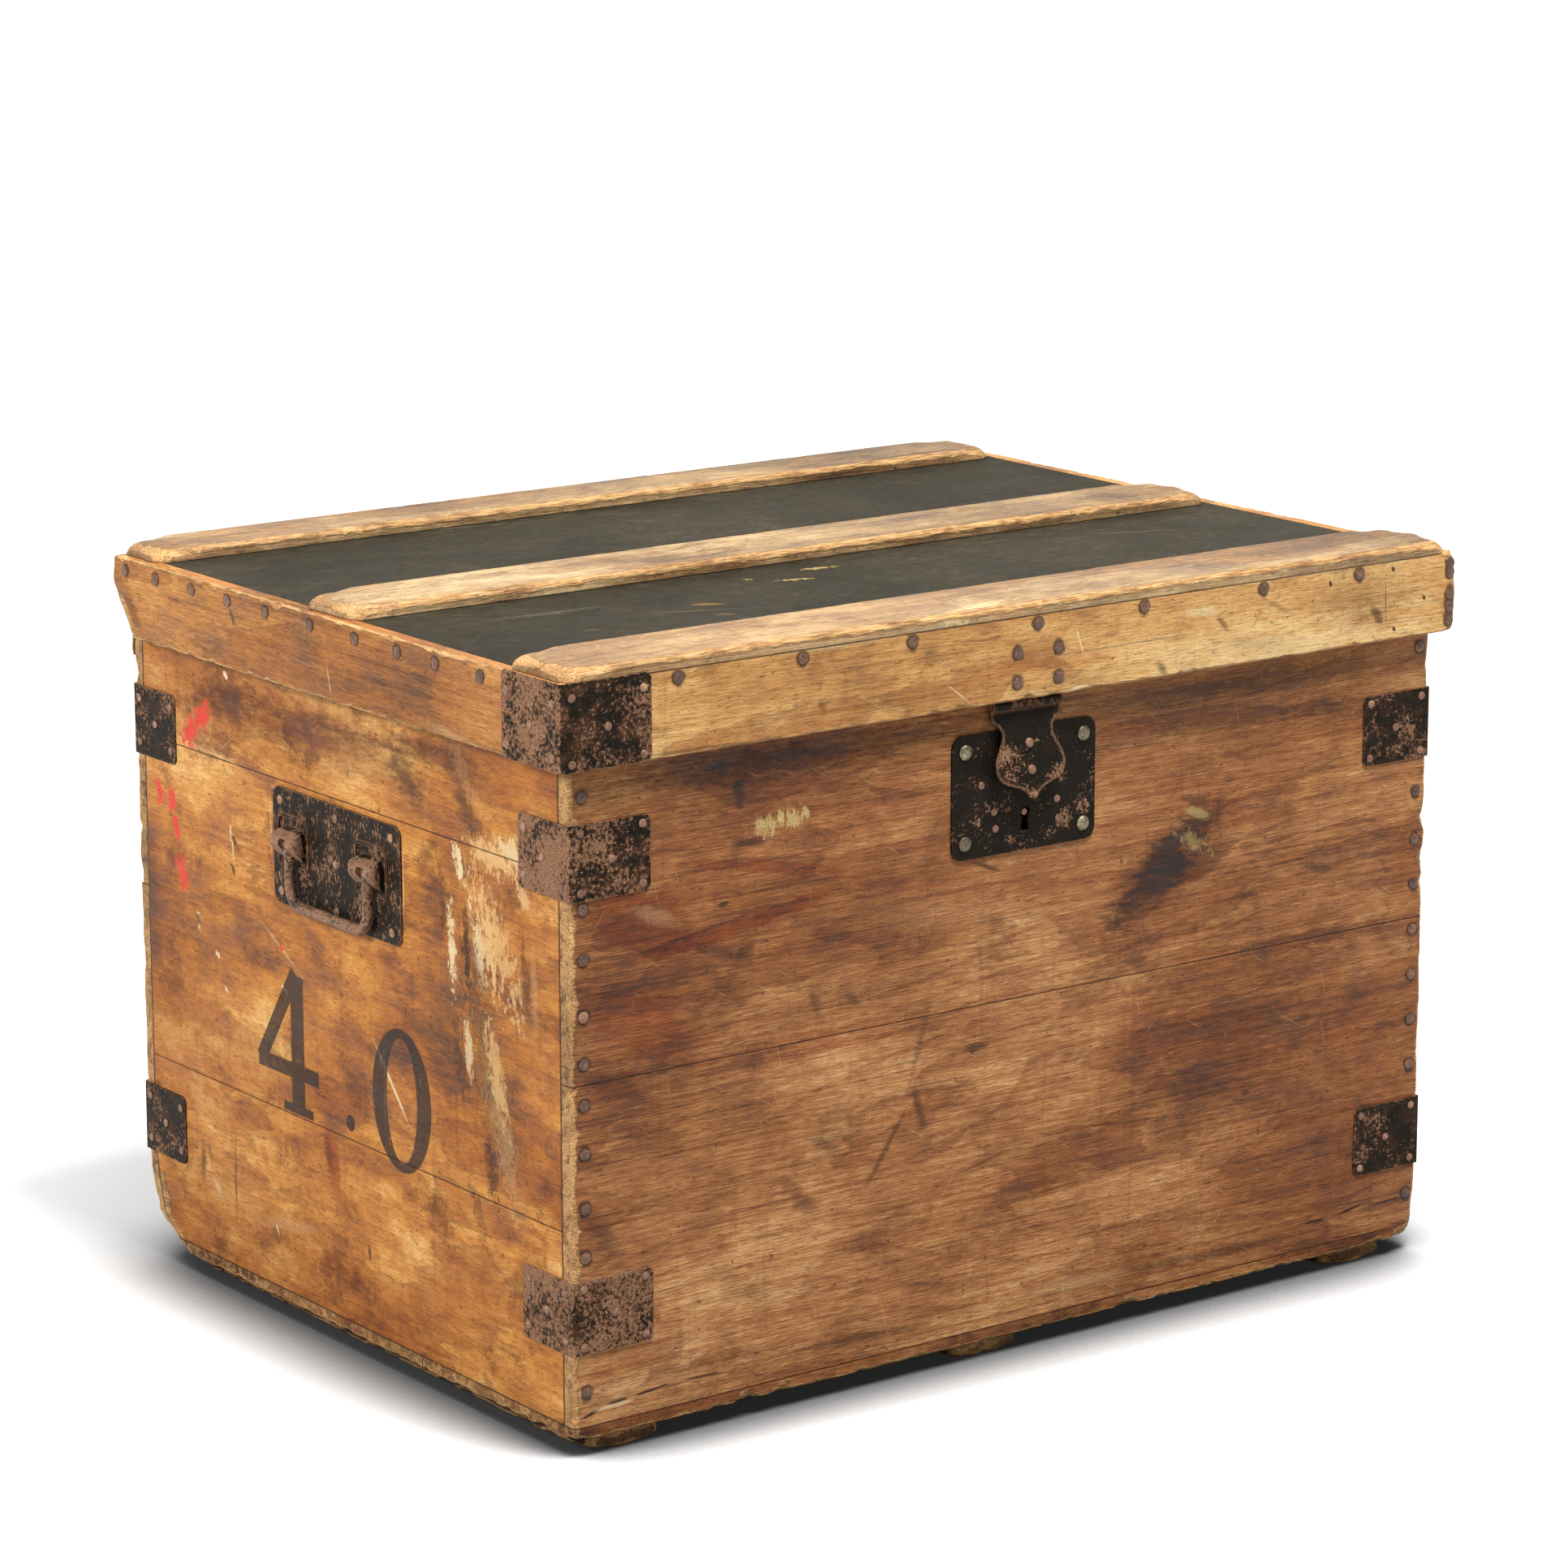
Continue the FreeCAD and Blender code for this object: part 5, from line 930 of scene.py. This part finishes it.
def closed_grid(lines):
    """A box as six gridded faces that share their edge points."""
    points, faces = [], []
    total = 0
    for axis in range(3):
        i, j = (axis + 1) % 3, (axis + 2) % 3
        for end in (0, -1):
            a, b = np.meshgrid(lines[i], lines[j], indexing="ij")
            patch = np.zeros((a.size, 3))
            patch[:, i], patch[:, j] = a.ravel(), b.ravel()
            patch[:, axis] = lines[axis][end]
            rows, cols = a.shape
            n = (np.arange(rows - 1)[:, None] * cols + np.arange(cols - 1)[None, :]).ravel()
            quads = np.stack([n, n + cols, n + cols + 1, n + 1], 1) + total
            faces.append(quads if end == -1 else quads[:, ::-1])
            points.append(patch)
            total += len(patch)
    points, faces = np.concatenate(points), np.concatenate(faces)
    keys = np.round(points * 1e6).astype(np.int64)
    _, first, back = np.unique(keys, axis=0, return_index=True, return_inverse=True)
    return points[first], back.reshape(-1)[faces]


print("a 0.1 m edge gets", len(crowded(0.0, 0.1, 0.0007, 0.010, 0.0055)), "grid lines")

# %% How an edge wanders and chips


def wander(t, rng, wave):
    """A smooth random line from 0 to 1 along t, in metres, with bends about wave long."""
    out = np.zeros_like(t)
    for octave in range(4):
        turns = t * 2 * math.pi / wave * 1.9 ** octave
        out += np.sin(turns + rng.uniform(0, 6.28)) / 1.6 ** octave
    return 0.5 + out / 4.6


def chipped(t, rng, base, chips, chip_size, waver=1.0):
    """The radius of a worn edge at each place along it."""
    radius = base * (1.0 + waver * (1.1 * wander(t, rng, 0.11) - 0.55))
    radius *= 1.0 + waver * (0.4 * wander(t, rng, 0.017) - 0.2)
    length = float(t.max() - t.min()) if len(t) else 0.0
    for _ in range(int(rng.poisson(chips * length))):
        centre = rng.uniform(t.min(), t.max())
        half = rng.uniform(0.0015, 0.009) * chip_size
        deep = rng.uniform(0.0008, 0.0034) * chip_size
        radius += deep * np.clip(1 - ((t - centre) / half) ** 2, 0, 1)
    return radius


print("edge rules ready")

# %% Roll the twelve edges of a board
SEAM_ROUND = 0.0004
SEAM_DARK = 0.0010
SIDES = {"-X": (0, 0), "+X": (0, 1), "-Y": (1, 0), "+Y": (1, 1), "-Z": (2, 0), "+Z": (2, 1)}


def roll_edges(points, low, high, seams, base, chips, chip_size, seed, wide_edges, waver):
    """Rolls each of the box's twelve edges inward. Returns the new points and the wear."""
    rng = np.random.default_rng(seed)
    inside = {s: (points[:, a] - low[a]) if not up else (high[a] - points[:, a])
              for s, (a, up) in SIDES.items()}
    inward = {s: (-1.0 if up else 1.0) for s, (a, up) in SIDES.items()}
    moved = points.copy()
    worn = np.zeros(len(points))
    seam = np.zeros(len(points))
    names = list(SIDES)
    for n, first in enumerate(names):
        for second in names[n + 1:]:
            if first[1] == second[1]:
                continue
            axis = 3 - SIDES[first][0] - SIDES[second][0]
            t = points[:, axis]
            joint = first in seams or second in seams
            if joint:
                radius = np.full(len(t), SEAM_ROUND)
            else:
                radius = chipped(t, rng, wide_edges.get(first + second, base), chips, chip_size,
                                 waver)
            da, db = inside[first], inside[second]
            on_first = (da < 1e-7) & (db < radius)
            on_second = (db < 1e-7) & (da < radius)
            for mask, ta, tb, other in ((on_first, first, second, db),
                                        (on_second & ~on_first, second, first, da)):
                r = radius[mask]
                s = other[mask] / r
                phi = math.pi / 4 * (1 - s)
                moved[mask, SIDES[ta][0]] += inward[ta] * r * (1 - np.cos(phi))
                moved[mask, SIDES[tb][0]] += inward[tb] * (r * (1 - np.sin(phi)) - s * r)
            gap = np.maximum(da, db)
            if joint:
                seam = np.maximum(seam, np.clip(1 - gap / SEAM_DARK, 0, 1))
            else:
                reach = radius * 1.1 + 0.0006
                worn = np.maximum(worn, np.clip(1.25 - gap / reach, 0, 1))
    return moved, worn, seam


print("edges between", len(SIDES), "sides can roll")

# %% Round a corner off


def wear_corner(points, corner, size):
    """Pulls a corner of a board in to an egg shape, fading away from the corner."""
    corner, size = np.array(corner), np.array(size)
    side = np.sign(corner - (points.max(0) + points.min(0)) / 2)
    centre = corner - side * size
    q = np.clip((points - centre) * side / size, 0, None)
    far = np.linalg.norm(q, axis=1)
    pulled = points.copy()
    out = far > 1
    shift = q[out] / far[out, None] - q[out]
    pulled[out] += side * size * shift
    away = np.clip((corner - points) * side / size, 0, 3)
    hold = np.clip(2.4 - away, 0, 1).prod(1)[:, None]
    return points + (pulled - points) * hold


print("corner rule ready")

# %% [markdown]
# ### Where the nails are
# The nails are separate solids of the measured model. Reading where each one sits lets the
# board know how near a nail each of its points is, for the black halo that iron leaves.

# %% Find the head of each nail


def heads_of(node):
    mesh = nodes[node].data
    co = np.array([v.co for v in mesh.vertices])
    keys = np.round(co * 1e5).astype(np.int64)
    _, back = np.unique(keys, axis=0, return_inverse=True)
    back = back.reshape(-1)
    group = np.arange(back.max() + 1)
    edges = back[np.array([e.vertices[:] for e in mesh.edges])]
    while True:
        low = np.minimum(group[edges[:, 0]], group[edges[:, 1]])
        new = group.copy()
        np.minimum.at(new, edges[:, 0], low)
        np.minimum.at(new, edges[:, 1], low)
        new = new[new]
        if (new == group).all():
            break
        group = new
    heads = []
    for g in np.unique(group):
        part = co[group[back] == g]
        lo, hi = part.min(0), part.max(0)
        axis = int(np.argmax(hi - lo))
        outer = (lo + hi) / 2
        outer[axis] = hi[axis] if outer[axis] > TRUNK_MIDDLE[axis] else lo[axis]
        heads.append(outer)
    return np.array(heads)


CASE_HEADS = np.concatenate([heads_of("board_nails"), heads_of("case_tacks")])
LID_HEADS = np.concatenate([heads_of("rim_nails"), heads_of("lid_tacks"), heads_of("hasp_nails")])
BASE_HEADS = heads_of("base_nails")
print("nail heads:", len(CASE_HEADS), "in the case,", len(LID_HEADS), "in the lid")

# %% [markdown]
# ### One board
# The board takes its box from the measured one, stands for it, and rides on the same body.
# The three numbers of wear, halo and seam go into the mesh, where the wood finish reads
# them. The steps are the sizes of the grid's cells, and the numbers named pale say how far
# wood has to be gone before it shows bare.

# %% Make a mesh that carries its numbers


def finish_mesh(name, points, faces, numbers, material):
    mesh = bpy.data.meshes.new(name)
    mesh.from_pydata(points.tolist(), [], faces.tolist())
    for key, values in numbers.items():
        mesh.attributes.new(key, "FLOAT", "POINT").data.foreach_set(
            "value", np.asarray(values, np.float32))
    mesh.polygons.foreach_set("use_smooth", [True] * len(mesh.polygons))
    mesh.materials.append(material)
    mesh.update()
    made = bpy.data.objects.new(name, mesh)
    bpy.context.scene.collection.objects.link(made)
    return made


print("mesh helper ready")

# %% How black a board is near its nails
HALO_REACH = 0.0042
HALO_FADE = 0.0022
HEAD_NEAR = 0.010


def halo_of(points, low, high, heads):
    """1 under a nail's head and fading away from it."""
    black = np.zeros(len(points))
    for head in heads:
        if (head > low - HEAD_NEAR).all() and (head < high + HEAD_NEAR).all():
            away = np.linalg.norm(points - head, axis=1)
            black = np.maximum(black, np.exp(-np.clip(away - HALO_REACH, 0, None) / HALO_FADE))
    return black


print("halo rule ready")

# %% Build a worn board on a measured one
ALONG_STEP = 0.0024
EDGE_STEP = 0.0007
FLAT_STEP = 0.0055
CORNER_PALE = 0.002
STRIP = 0.012
STRIP_PALE = 0.008
MOST_WORN = 0.8


def worn_board(node, body, material, seams=(), base=0.0012, chips=14, chip_size=1.0,
               corners=(), heads=CASE_HEADS, seed=1, along=0, shape=None, wide_edges=None,
               bare_ends=0.0, reach=0.010, only=None, name=None, waver=1.0):
    low, high = (np.array(c) for c in (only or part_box(node)))
    lines = []
    for axis in range(3):
        span = high[axis] - low[axis]
        if axis == along:
            lines.append(np.linspace(low[axis], high[axis], int(span / ALONG_STEP)))
        else:
            lines.append(crowded(low[axis], high[axis], EDGE_STEP, min(reach, span / 2),
                                 FLAT_STEP))
    points, faces = closed_grid(lines)
    moved, worn, seam = roll_edges(points, low, high, seams, base, chips, chip_size, seed,
                                   wide_edges or {}, waver)
    for corner, size in corners:
        before = moved.copy()
        moved = wear_corner(moved, corner, size)
        gone = np.linalg.norm(moved - before, axis=1)
        worn = np.maximum(worn, np.clip(gone / CORNER_PALE, 0, MOST_WORN))
    if shape is not None:
        before = moved.copy()
        moved = shape(moved)
        gone = np.linalg.norm(moved - before, axis=1)
        worn = np.maximum(worn, np.where(points[:, 1] > high[1] - STRIP,
                                         np.clip(gone / STRIP_PALE, 0, MOST_WORN), 0))
    at_end = np.minimum(points[:, along] - low[along], high[along] - points[:, along])
    worn = np.maximum(worn, np.where(at_end < 1e-6, bare_ends, 0))
    black = halo_of(points, low, high, heads)
    made = finish_mesh(name or "worn_" + node, moved, faces,
                       {"worn": worn, "seam": seam, "halo": black}, material)
    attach(made, body)
    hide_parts(node)
    return made


print("board builder ready, grid cells from", EDGE_STEP, "to", FLAT_STEP, "m")

# %% [markdown]
# ### The case
# Only outer edges wear. Where two boards meet, the edge stays crisp and the joint shows as a
# thin dark line, so those sides are named as seams. The lower rear corner at the left and the
# lower front corner at the right have been rounded off by a century of floors.

# %% Say how far the corners have gone
X0, Y0, Z0 = -0.380, -0.281, 0.012
X1, Y1 = 0.380, 0.281
front_right = ((X1, Y0, Z0), (0.010, 0.006, 0.016))
front_left = ((X0, Y0, Z0), (0.006, 0.006, 0.008))
rear_right = ((X1, Y1, Z0), (0.010, 0.010, 0.014))
LOW_CORNERS = (front_right, front_left, rear_right)
KNOCKED = ((0.000, 0.062), (0.012, 0.060), (0.017, 0.050), (0.020, 0.043), (0.0226, 0.038),
           (0.0265, 0.033), (0.029, 0.025), (0.034, 0.014), (0.044, 0.010), (0.065, 0.004),
           (0.080, 0.0))
KNOCK_LONG = 0.130
KNOCK_DEEP = 0.070


def knock_corner(points):
    """The lower rear corner at the left, knocked off: pulls points forward by their height."""
    level, step = np.array(KNOCKED).T
    gone = np.interp(points[:, 2], level, step)
    gone *= np.clip(1 - (points[:, 0] - X0) / KNOCK_DEEP, 0, 1)
    t = np.clip((points[:, 1] - (Y1 - KNOCK_LONG)) / KNOCK_LONG, 0, 1)
    out = points.copy()
    out[:, 1] -= gone * t * t
    return out


def corners_of(low, high):
    return [(c, s) for c, s in LOW_CORNERS
            if all(low[a] - 1e-4 - s[a] <= c[a] <= high[a] + 1e-4 + s[a] for a in range(3))]


print("the lower rear corner is driven in by up to", max(step for _, step in KNOCKED), "m")

# %% Lay the boards of the case
case_rows = [
    ("front_board_lower", front_wood, ("+Z", "-Z", "+Y"), 0, 11),
    ("front_board_upper", front_wood, ("-Z", "+Y", "+Z"), 0, 12),
    ("back_board_lower", back_wood, ("+Z", "-Z", "-Y"), 0, 13),
    ("back_board_upper", back_wood, ("-Z", "-Y", "+Z"), 0, 14),
    ("left_end_board_bottom", left_wood, ("+Z", "-Z", "-Y", "+Y", "+X"), 1, 15),
    ("left_end_board_middle", left_wood, ("+Z", "-Z", "-Y", "+Y", "+X"), 1, 16),
    ("left_end_board_top", left_wood, ("-Z", "-Y", "+Y", "+X", "+Z"), 1, 17),
    ("right_end_board_bottom", end_wood, ("+Z", "-Z", "-Y", "+Y", "-X"), 1, 18),
    ("right_end_board_middle", end_wood, ("+Z", "-Z", "-Y", "+Y", "-X"), 1, 19),
    ("right_end_board_top", end_wood, ("-Z", "-Y", "+Y", "-X", "+Z"), 1, 20),
    ("back_rail", back_wood, ("-Y",), 0, 21),
]
UPRIGHT = {"-X-Y": 0.0032, "+X-Y": 0.0028, "-X+Y": 0.0022, "+X+Y": 0.0022}
laid = {}
for node, material, seams, along, seed in case_rows:
    laid[node] = worn_board(node, "case", material, seams, 0.0014, 40, 1.2,
                            corners_of(*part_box(node)), seed=seed, along=along,
                            shape=knock_corner, wide_edges=UPRIGHT,
                            bare_ends=0.62 if along == 0 else 0.0)
print("case boards laid:", len(laid))

# %% [markdown]
# ### A pocket for the lock
# The lock's box is let into the upper front board. The worn board is solid, so the pocket is
# cut out of it again with a boolean, and through the keyhole the eye meets the iron box.

# %% Cut the pocket


def cut_pocket(board, low, high):
    points, faces = closed_grid([np.array([low[a], high[a]]) for a in range(3)])
    cutter = finish_mesh("pocket_tool", points, faces, {}, board.data.materials[0])
    cut = board.modifiers.new("pocket", "BOOLEAN")
    cut.operation = "DIFFERENCE"
    cut.solver = "EXACT"
    cut.object = cutter
    graph = bpy.context.evaluated_depsgraph_get()
    cut_mesh = bpy.data.meshes.new_from_object(board.evaluated_get(graph))
    board.modifiers.clear()
    board.data = cut_mesh
    bpy.data.objects.remove(cutter)


POCKET_PLAY = 0.0004
box_low, box_high = (np.array(c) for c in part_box("lock_box"))
box_low[1] = Y0 - 0.002
cut_pocket(laid["front_board_upper"], box_low - POCKET_PLAY, box_high + POCKET_PLAY)
print("pocket cut:", len(laid["front_board_upper"].data.polygons), "faces left")

# %% [markdown]
# ### The base
# The bottom boards and the skids have had the hardest life. Their edges are split and
# ragged, and the skids' ends are crushed.

# %% Lay the bottom boards and the skids
for n, node in enumerate(("skid_left", "skid_middle", "skid_right")):
    low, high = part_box(node)
    ends = [((x, y, z), (0.010, 0.012, 0.006)) for x in (low[0], high[0])
            for y in (low[1], high[1]) for z in (low[2], high[2])]
    worn_board(node, "case", skid_wood, (), 0.0022, 50, 1.2, ends, heads=BASE_HEADS,
               seed=40 + n, along=1, shape=knock_corner)
low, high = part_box("bottom_boards")
PLANKS = 3
splits = np.linspace(low[1], high[1], PLANKS + 1)
for n in range(PLANKS):
    only = ((low[0], splits[n], low[2]), (high[0], splits[n + 1], high[2]))
    joined = ["+Z"] + (["-Y"] if n else []) + (["+Y"] if n < PLANKS - 1 else [])
    worn_board("bottom_boards", "case", plank_wood, joined, 0.0016, 60, 0.9,
               corners_of(*only), heads=BASE_HEADS, seed=44 + n, along=0, shape=knock_corner,
               bare_ends=0.5, only=only, name="worn_bottom_board_%d" % (n + 1))
print("skids and bottom boards laid")

# %% [markdown]
# ### The lid
# The rim boards are lighter than the case, because the lid was wiped and polished more. The
# end boards are cut back to a heel at the rear, where they pass the hinges.

# %% Lay the rim boards
LID_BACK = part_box("lid_left_board")[1][1]
HEEL = ((0.473, 0.027), (0.485, 0.020), (0.510, 0.0), (0.528, 0.003), (0.531, 0.004))
HEEL_LONG = 0.060


def cut_heel(points):
    out = points.copy()
    level, step = np.array(HEEL).T
    back = LID_BACK - np.interp(points[:, 2], level, step)
    start = LID_BACK - HEEL_LONG
    t = np.clip((points[:, 1] - start) / HEEL_LONG, 0, 1)
    out[:, 1] = np.where(points[:, 1] > start, start + (back - start) * t, points[:, 1])
    return out


worn_board("lid_front_board", "lid", lid_front_wood, ("+Y", "+Z"), 0.0015, 28, 0.8,
           [((0.3935, -0.2927, 0.531), (0.006, 0.003, 0.012)),
            ((0.3935, -0.2927, 0.473), (0.004, 0.003, 0.008))],
           heads=LID_HEADS, seed=31, along=0)
worn_board("lid_left_board", "lid", lid_left_wood, ("-Y", "+X"), 0.0014, 40, 0.9,
           heads=LID_HEADS, seed=32, along=1, shape=cut_heel)
worn_board("lid_right_board", "lid", lid_end_wood, ("-Y", "-X"), 0.0014, 40, 0.9,
           heads=LID_HEADS, seed=33, along=1, shape=cut_heel)
print("rim boards laid, lid back edge at", round(LID_BACK, 4))

# %% [markdown]
# ### The battens
# Three battens keep the canvas off whatever is stacked on top. Their tops are round-edged
# and rubbed to a shine.

# %% Lay the battens
BATTEN_ROUND = 0.0045
for n, node in enumerate(("batten_front", "batten_middle", "batten_back")):
    low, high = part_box(node)
    corners = [((x, y, high[2]), (0.016, 0.016, 0.009))
               for x in (low[0], high[0]) for y in (low[1], high[1])]
    worn_board(node, "lid", batten_wood, ("-Z",), BATTEN_ROUND, 7, 0.7, corners,
               heads=LID_HEADS[:0], seed=50 + n, along=0, reach=0.016, waver=0.25)
print("battens laid")

# %% [markdown]
# ### Nails that went with the corner
# The nails near the knocked-off corner were driven back with the wood. Each is a copy of the
# measured nails, moved by the same rule as the boards, so no head is left in the air.

# %% Drive the nails back with the wood


def reshaped(node, rule, body, material, name):
    source = nodes[node].data
    points = np.array([v.co for v in source.vertices])
    faces = [list(polygon.vertices) for polygon in source.polygons]
    mesh = bpy.data.meshes.new(name)
    mesh.from_pydata(rule(points).tolist(), [], faces)
    mesh.polygons.foreach_set("use_smooth", [p.use_smooth for p in source.polygons])
    mesh.materials.append(material)
    made = bpy.data.objects.new(name, mesh)
    bpy.context.scene.collection.objects.link(made)
    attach(made, body)
    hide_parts(node)


for node in ("board_nails", "base_nails"):
    reshaped(node, knock_corner, "case", nail_iron, "driven_" + node)
print("nails driven back")

# %% [markdown]
# ### The lid's bracket
# The lid's iron was bent up over the rim a little, until it met the batten. The copy lifts
# the upper part of the measured bracket by that much and leaves the tacks where they are.

# %% Lift the top of the lid's bracket
BRACKET_LIFT = 0.0043
BRACKET_MIDDLE = 0.515


def lift_top(points):
    out = points.copy()
    out[:, 2] += np.where(points[:, 2] > BRACKET_MIDDLE, BRACKET_LIFT, 0)
    return out


reshaped("lid_bracket", lift_top, "lid", black_iron, "lifted_lid_bracket")
print("lid bracket lifted")

# %% [markdown]
# ## Dress the measured pieces
# Everything else keeps its measured shape, because iron parts wear on their faces and not
# in their form. Each piece takes its finish; the slot listed beside it, which says what it is
# made of, is not used. The brackets near the eye have rusted more than the others, so they
# get other irons.

# %% Share out the finishes
far_brackets = ["bracket_%s_%s_%s" % (side, end, row)
                for side, end in (("front", "right"), ("back", "left"), ("back", "right"))
                for row in ("lower", "upper")]
dressings = [
    (inner_wood, "wood_lid", ["lid_top_boards"]),
    (canvas, "canvas", ["lid_canvas"]),
    (lock_iron, "iron_black", ["lock_plate"]),
    (shield_iron, "iron_black", ["hasp_shield"]),
    (rivet_rust, "iron_black", ["hasp_staple"]),
    (black_iron, "iron_black", ["lock_box", "hasp_leaf", "hasp_pin", "hinge_case_leaves",
                                "hinge_lid_leaves", "bracket_front_left_upper"]),
    (brown_iron, "iron_black", ["bracket_front_left_lower"]),
    (dark_iron, "iron_black", far_brackets),
    (grip_iron, "iron_black", ["left_handle_plate", "right_handle_plate"]),
    (bail_iron, "iron_black", ["left_bail", "right_bail", "hinge_pins"]),
    (nail_iron, "nail_iron", ["hinge_case_screws", "hinge_lid_screws", "rim_nails",
                              "batten_nails", "hasp_nails"]),
    (rivet_rust, "nail_iron", ["case_tacks", "lid_tacks", "handle_rivets",
                               "lock_plate_rivets"]),
    (stud_brass, "studs_brass", ["lock_plate_studs"]),
    (bright_steel, "steel_bright", ["lock_bolt", "bolt_spring"]),
    (rivet_rust, "steel_bright", ["drill_pin"]),
]
dressed = 0
for material, slot, names in dressings:
    for name in names:
        piece = nodes[name]
        piece.data.materials.clear()
        piece.data.materials.append(material)
        dressed += 1
print("dressed", dressed, "measured pieces")

# %% [markdown]
# ## Floor and light
# The studio floor is pale, and to the eye it glows up to white a little way off, so the page
# is white around the trunk while its shadow stays. Close under the boards it looks up how
# much of the sky the trunk hides from it and darkens its colour and its glow by that: a
# contact shadow painted into the floor. To the light the floor is greyer, so that it throws
# less of it up at the wood.

# %% Lay the floor
FLOOR_HALF = 60.0
CONTACT = 0.12
HIDDEN, OPEN, DARKEST = 0.42, 0.95, 0.06
GLOW_FROM, GLOW_FULL, GLOW_LEAST = 0.40, 1.05, 0.22
PALE_TO_LIGHT, PALE_TO_EYE = 0.36, 0.72
floor_mesh = bpy.data.meshes.new("studio_floor")
floor_mesh.from_pydata([(-FLOOR_HALF, -FLOOR_HALF, 0), (FLOOR_HALF, -FLOOR_HALF, 0),
                        (FLOOR_HALF, FLOOR_HALF, 0), (-FLOOR_HALF, FLOOR_HALF, 0)], [],
                       [(0, 1, 2, 3)])
floor = bpy.data.objects.new("studio_floor", floor_mesh)
bpy.context.scene.collection.objects.link(floor)


def seen_by_eye(tree):
    """1 for what the eye sees, also in a gloss or through glass, and 0 for the light's way."""
    path = put(tree, "ShaderNodeLightPath").outputs
    return calc(tree, "MAXIMUM", path["Is Camera Ray"],
                calc(tree, "MAXIMUM", path["Is Glossy Ray"], path["Is Transmission Ray"]))


floor_paint, tree = new_finish("floor_paint")
seen = seen_by_eye(tree)
spot = put(tree, "ShaderNodeTexCoord").outputs["Object"]
far = put(tree, "ShaderNodeVectorMath", {0: spot}, operation="LENGTH").outputs["Value"]
lift = between(tree, far, GLOW_FROM, GLOW_FULL, GLOW_LEAST, 1.0)
# Painted contact shadow: the ambient-occlusion lookup darkens the floor's colour and glow close
# under the trunk.
near = put(tree, "ShaderNodeAmbientOcclusion", {"Distance": CONTACT}, samples=12).outputs["AO"]
near = between(tree, near, HIDDEN, OPEN, DARKEST, 1.0)
pale = between(tree, seen, 0.0, 1.0, PALE_TO_LIGHT, PALE_TO_EYE)
chalk = put(tree, "ShaderNodeBsdfDiffuse", {0: calc(tree, "MULTIPLY", pale, near)})
glow = put(tree, "ShaderNodeEmission",
           {"Color": (1.0, 1.0, 1.0, 1.0),
            "Strength": calc(tree, "MULTIPLY", calc(tree, "MULTIPLY", seen, lift), near)})
both = put(tree, "ShaderNodeAddShader", {0: chalk.outputs[0], 1: glow.outputs[0]})
put(tree, "ShaderNodeOutputMaterial", {"Surface": both.outputs[0]})
floor_mesh.materials.append(floor_paint)
print("floor laid,", FLOOR_HALF * 2, "m wide")

# %% [markdown]
# ### The lamps
# Three round soft lamps light the trunk. The strongest hangs high in front, lights the front
# and the canvas and throws the shadow of the lid. One at the left lights the left end as a
# window would. A wide weak one, low in front, opens the shadows. The world gives little light
# of its own, but the eye sees it white.

# %% Hang the lamps and light the world
WORLD_LIGHT = 0.13
LAMPS = {
    "left_window": ((-3.6, 0.2, 2.4), 1.4, 152),
    "high_panel": ((0.0, -1.60, 4.1), 1.2, 262),
    "low_fill": ((-0.3, -4.8, 1.9), 3.0, 26),
}
for name, (place, size, watts) in LAMPS.items():
    data = bpy.data.lights.new(name, "AREA")
    data.shape = "DISK"
    data.size = size
    data.energy = watts
    lamp = bpy.data.objects.new(name, data)
    bpy.context.scene.collection.objects.link(lamp)
    lamp.location = place
    lamp.rotation_mode = "QUATERNION"
    aim = Vector(TRUNK_MIDDLE) - Vector(place)
    lamp.rotation_quaternion = aim.to_track_quat("-Z", "Y")
world = bpy.data.worlds.new("pale_room")
bpy.context.scene.world = world
world.use_nodes = True
tree = world.node_tree
tree.nodes.clear()
sky = put(tree, "ShaderNodeBackground", {"Color": (1.0, 1.0, 1.0, 1.0)})
light = between(tree, seen_by_eye(tree), 0.0, 1.0, WORLD_LIGHT, 1.0)
tree.links.new(light, sky.inputs["Strength"])
put(tree, "ShaderNodeOutputWorld", {"Surface": sky.outputs[0]})
bpy.context.scene.view_settings.view_transform = "Standard"
print("lamps hung:", len(LAMPS))
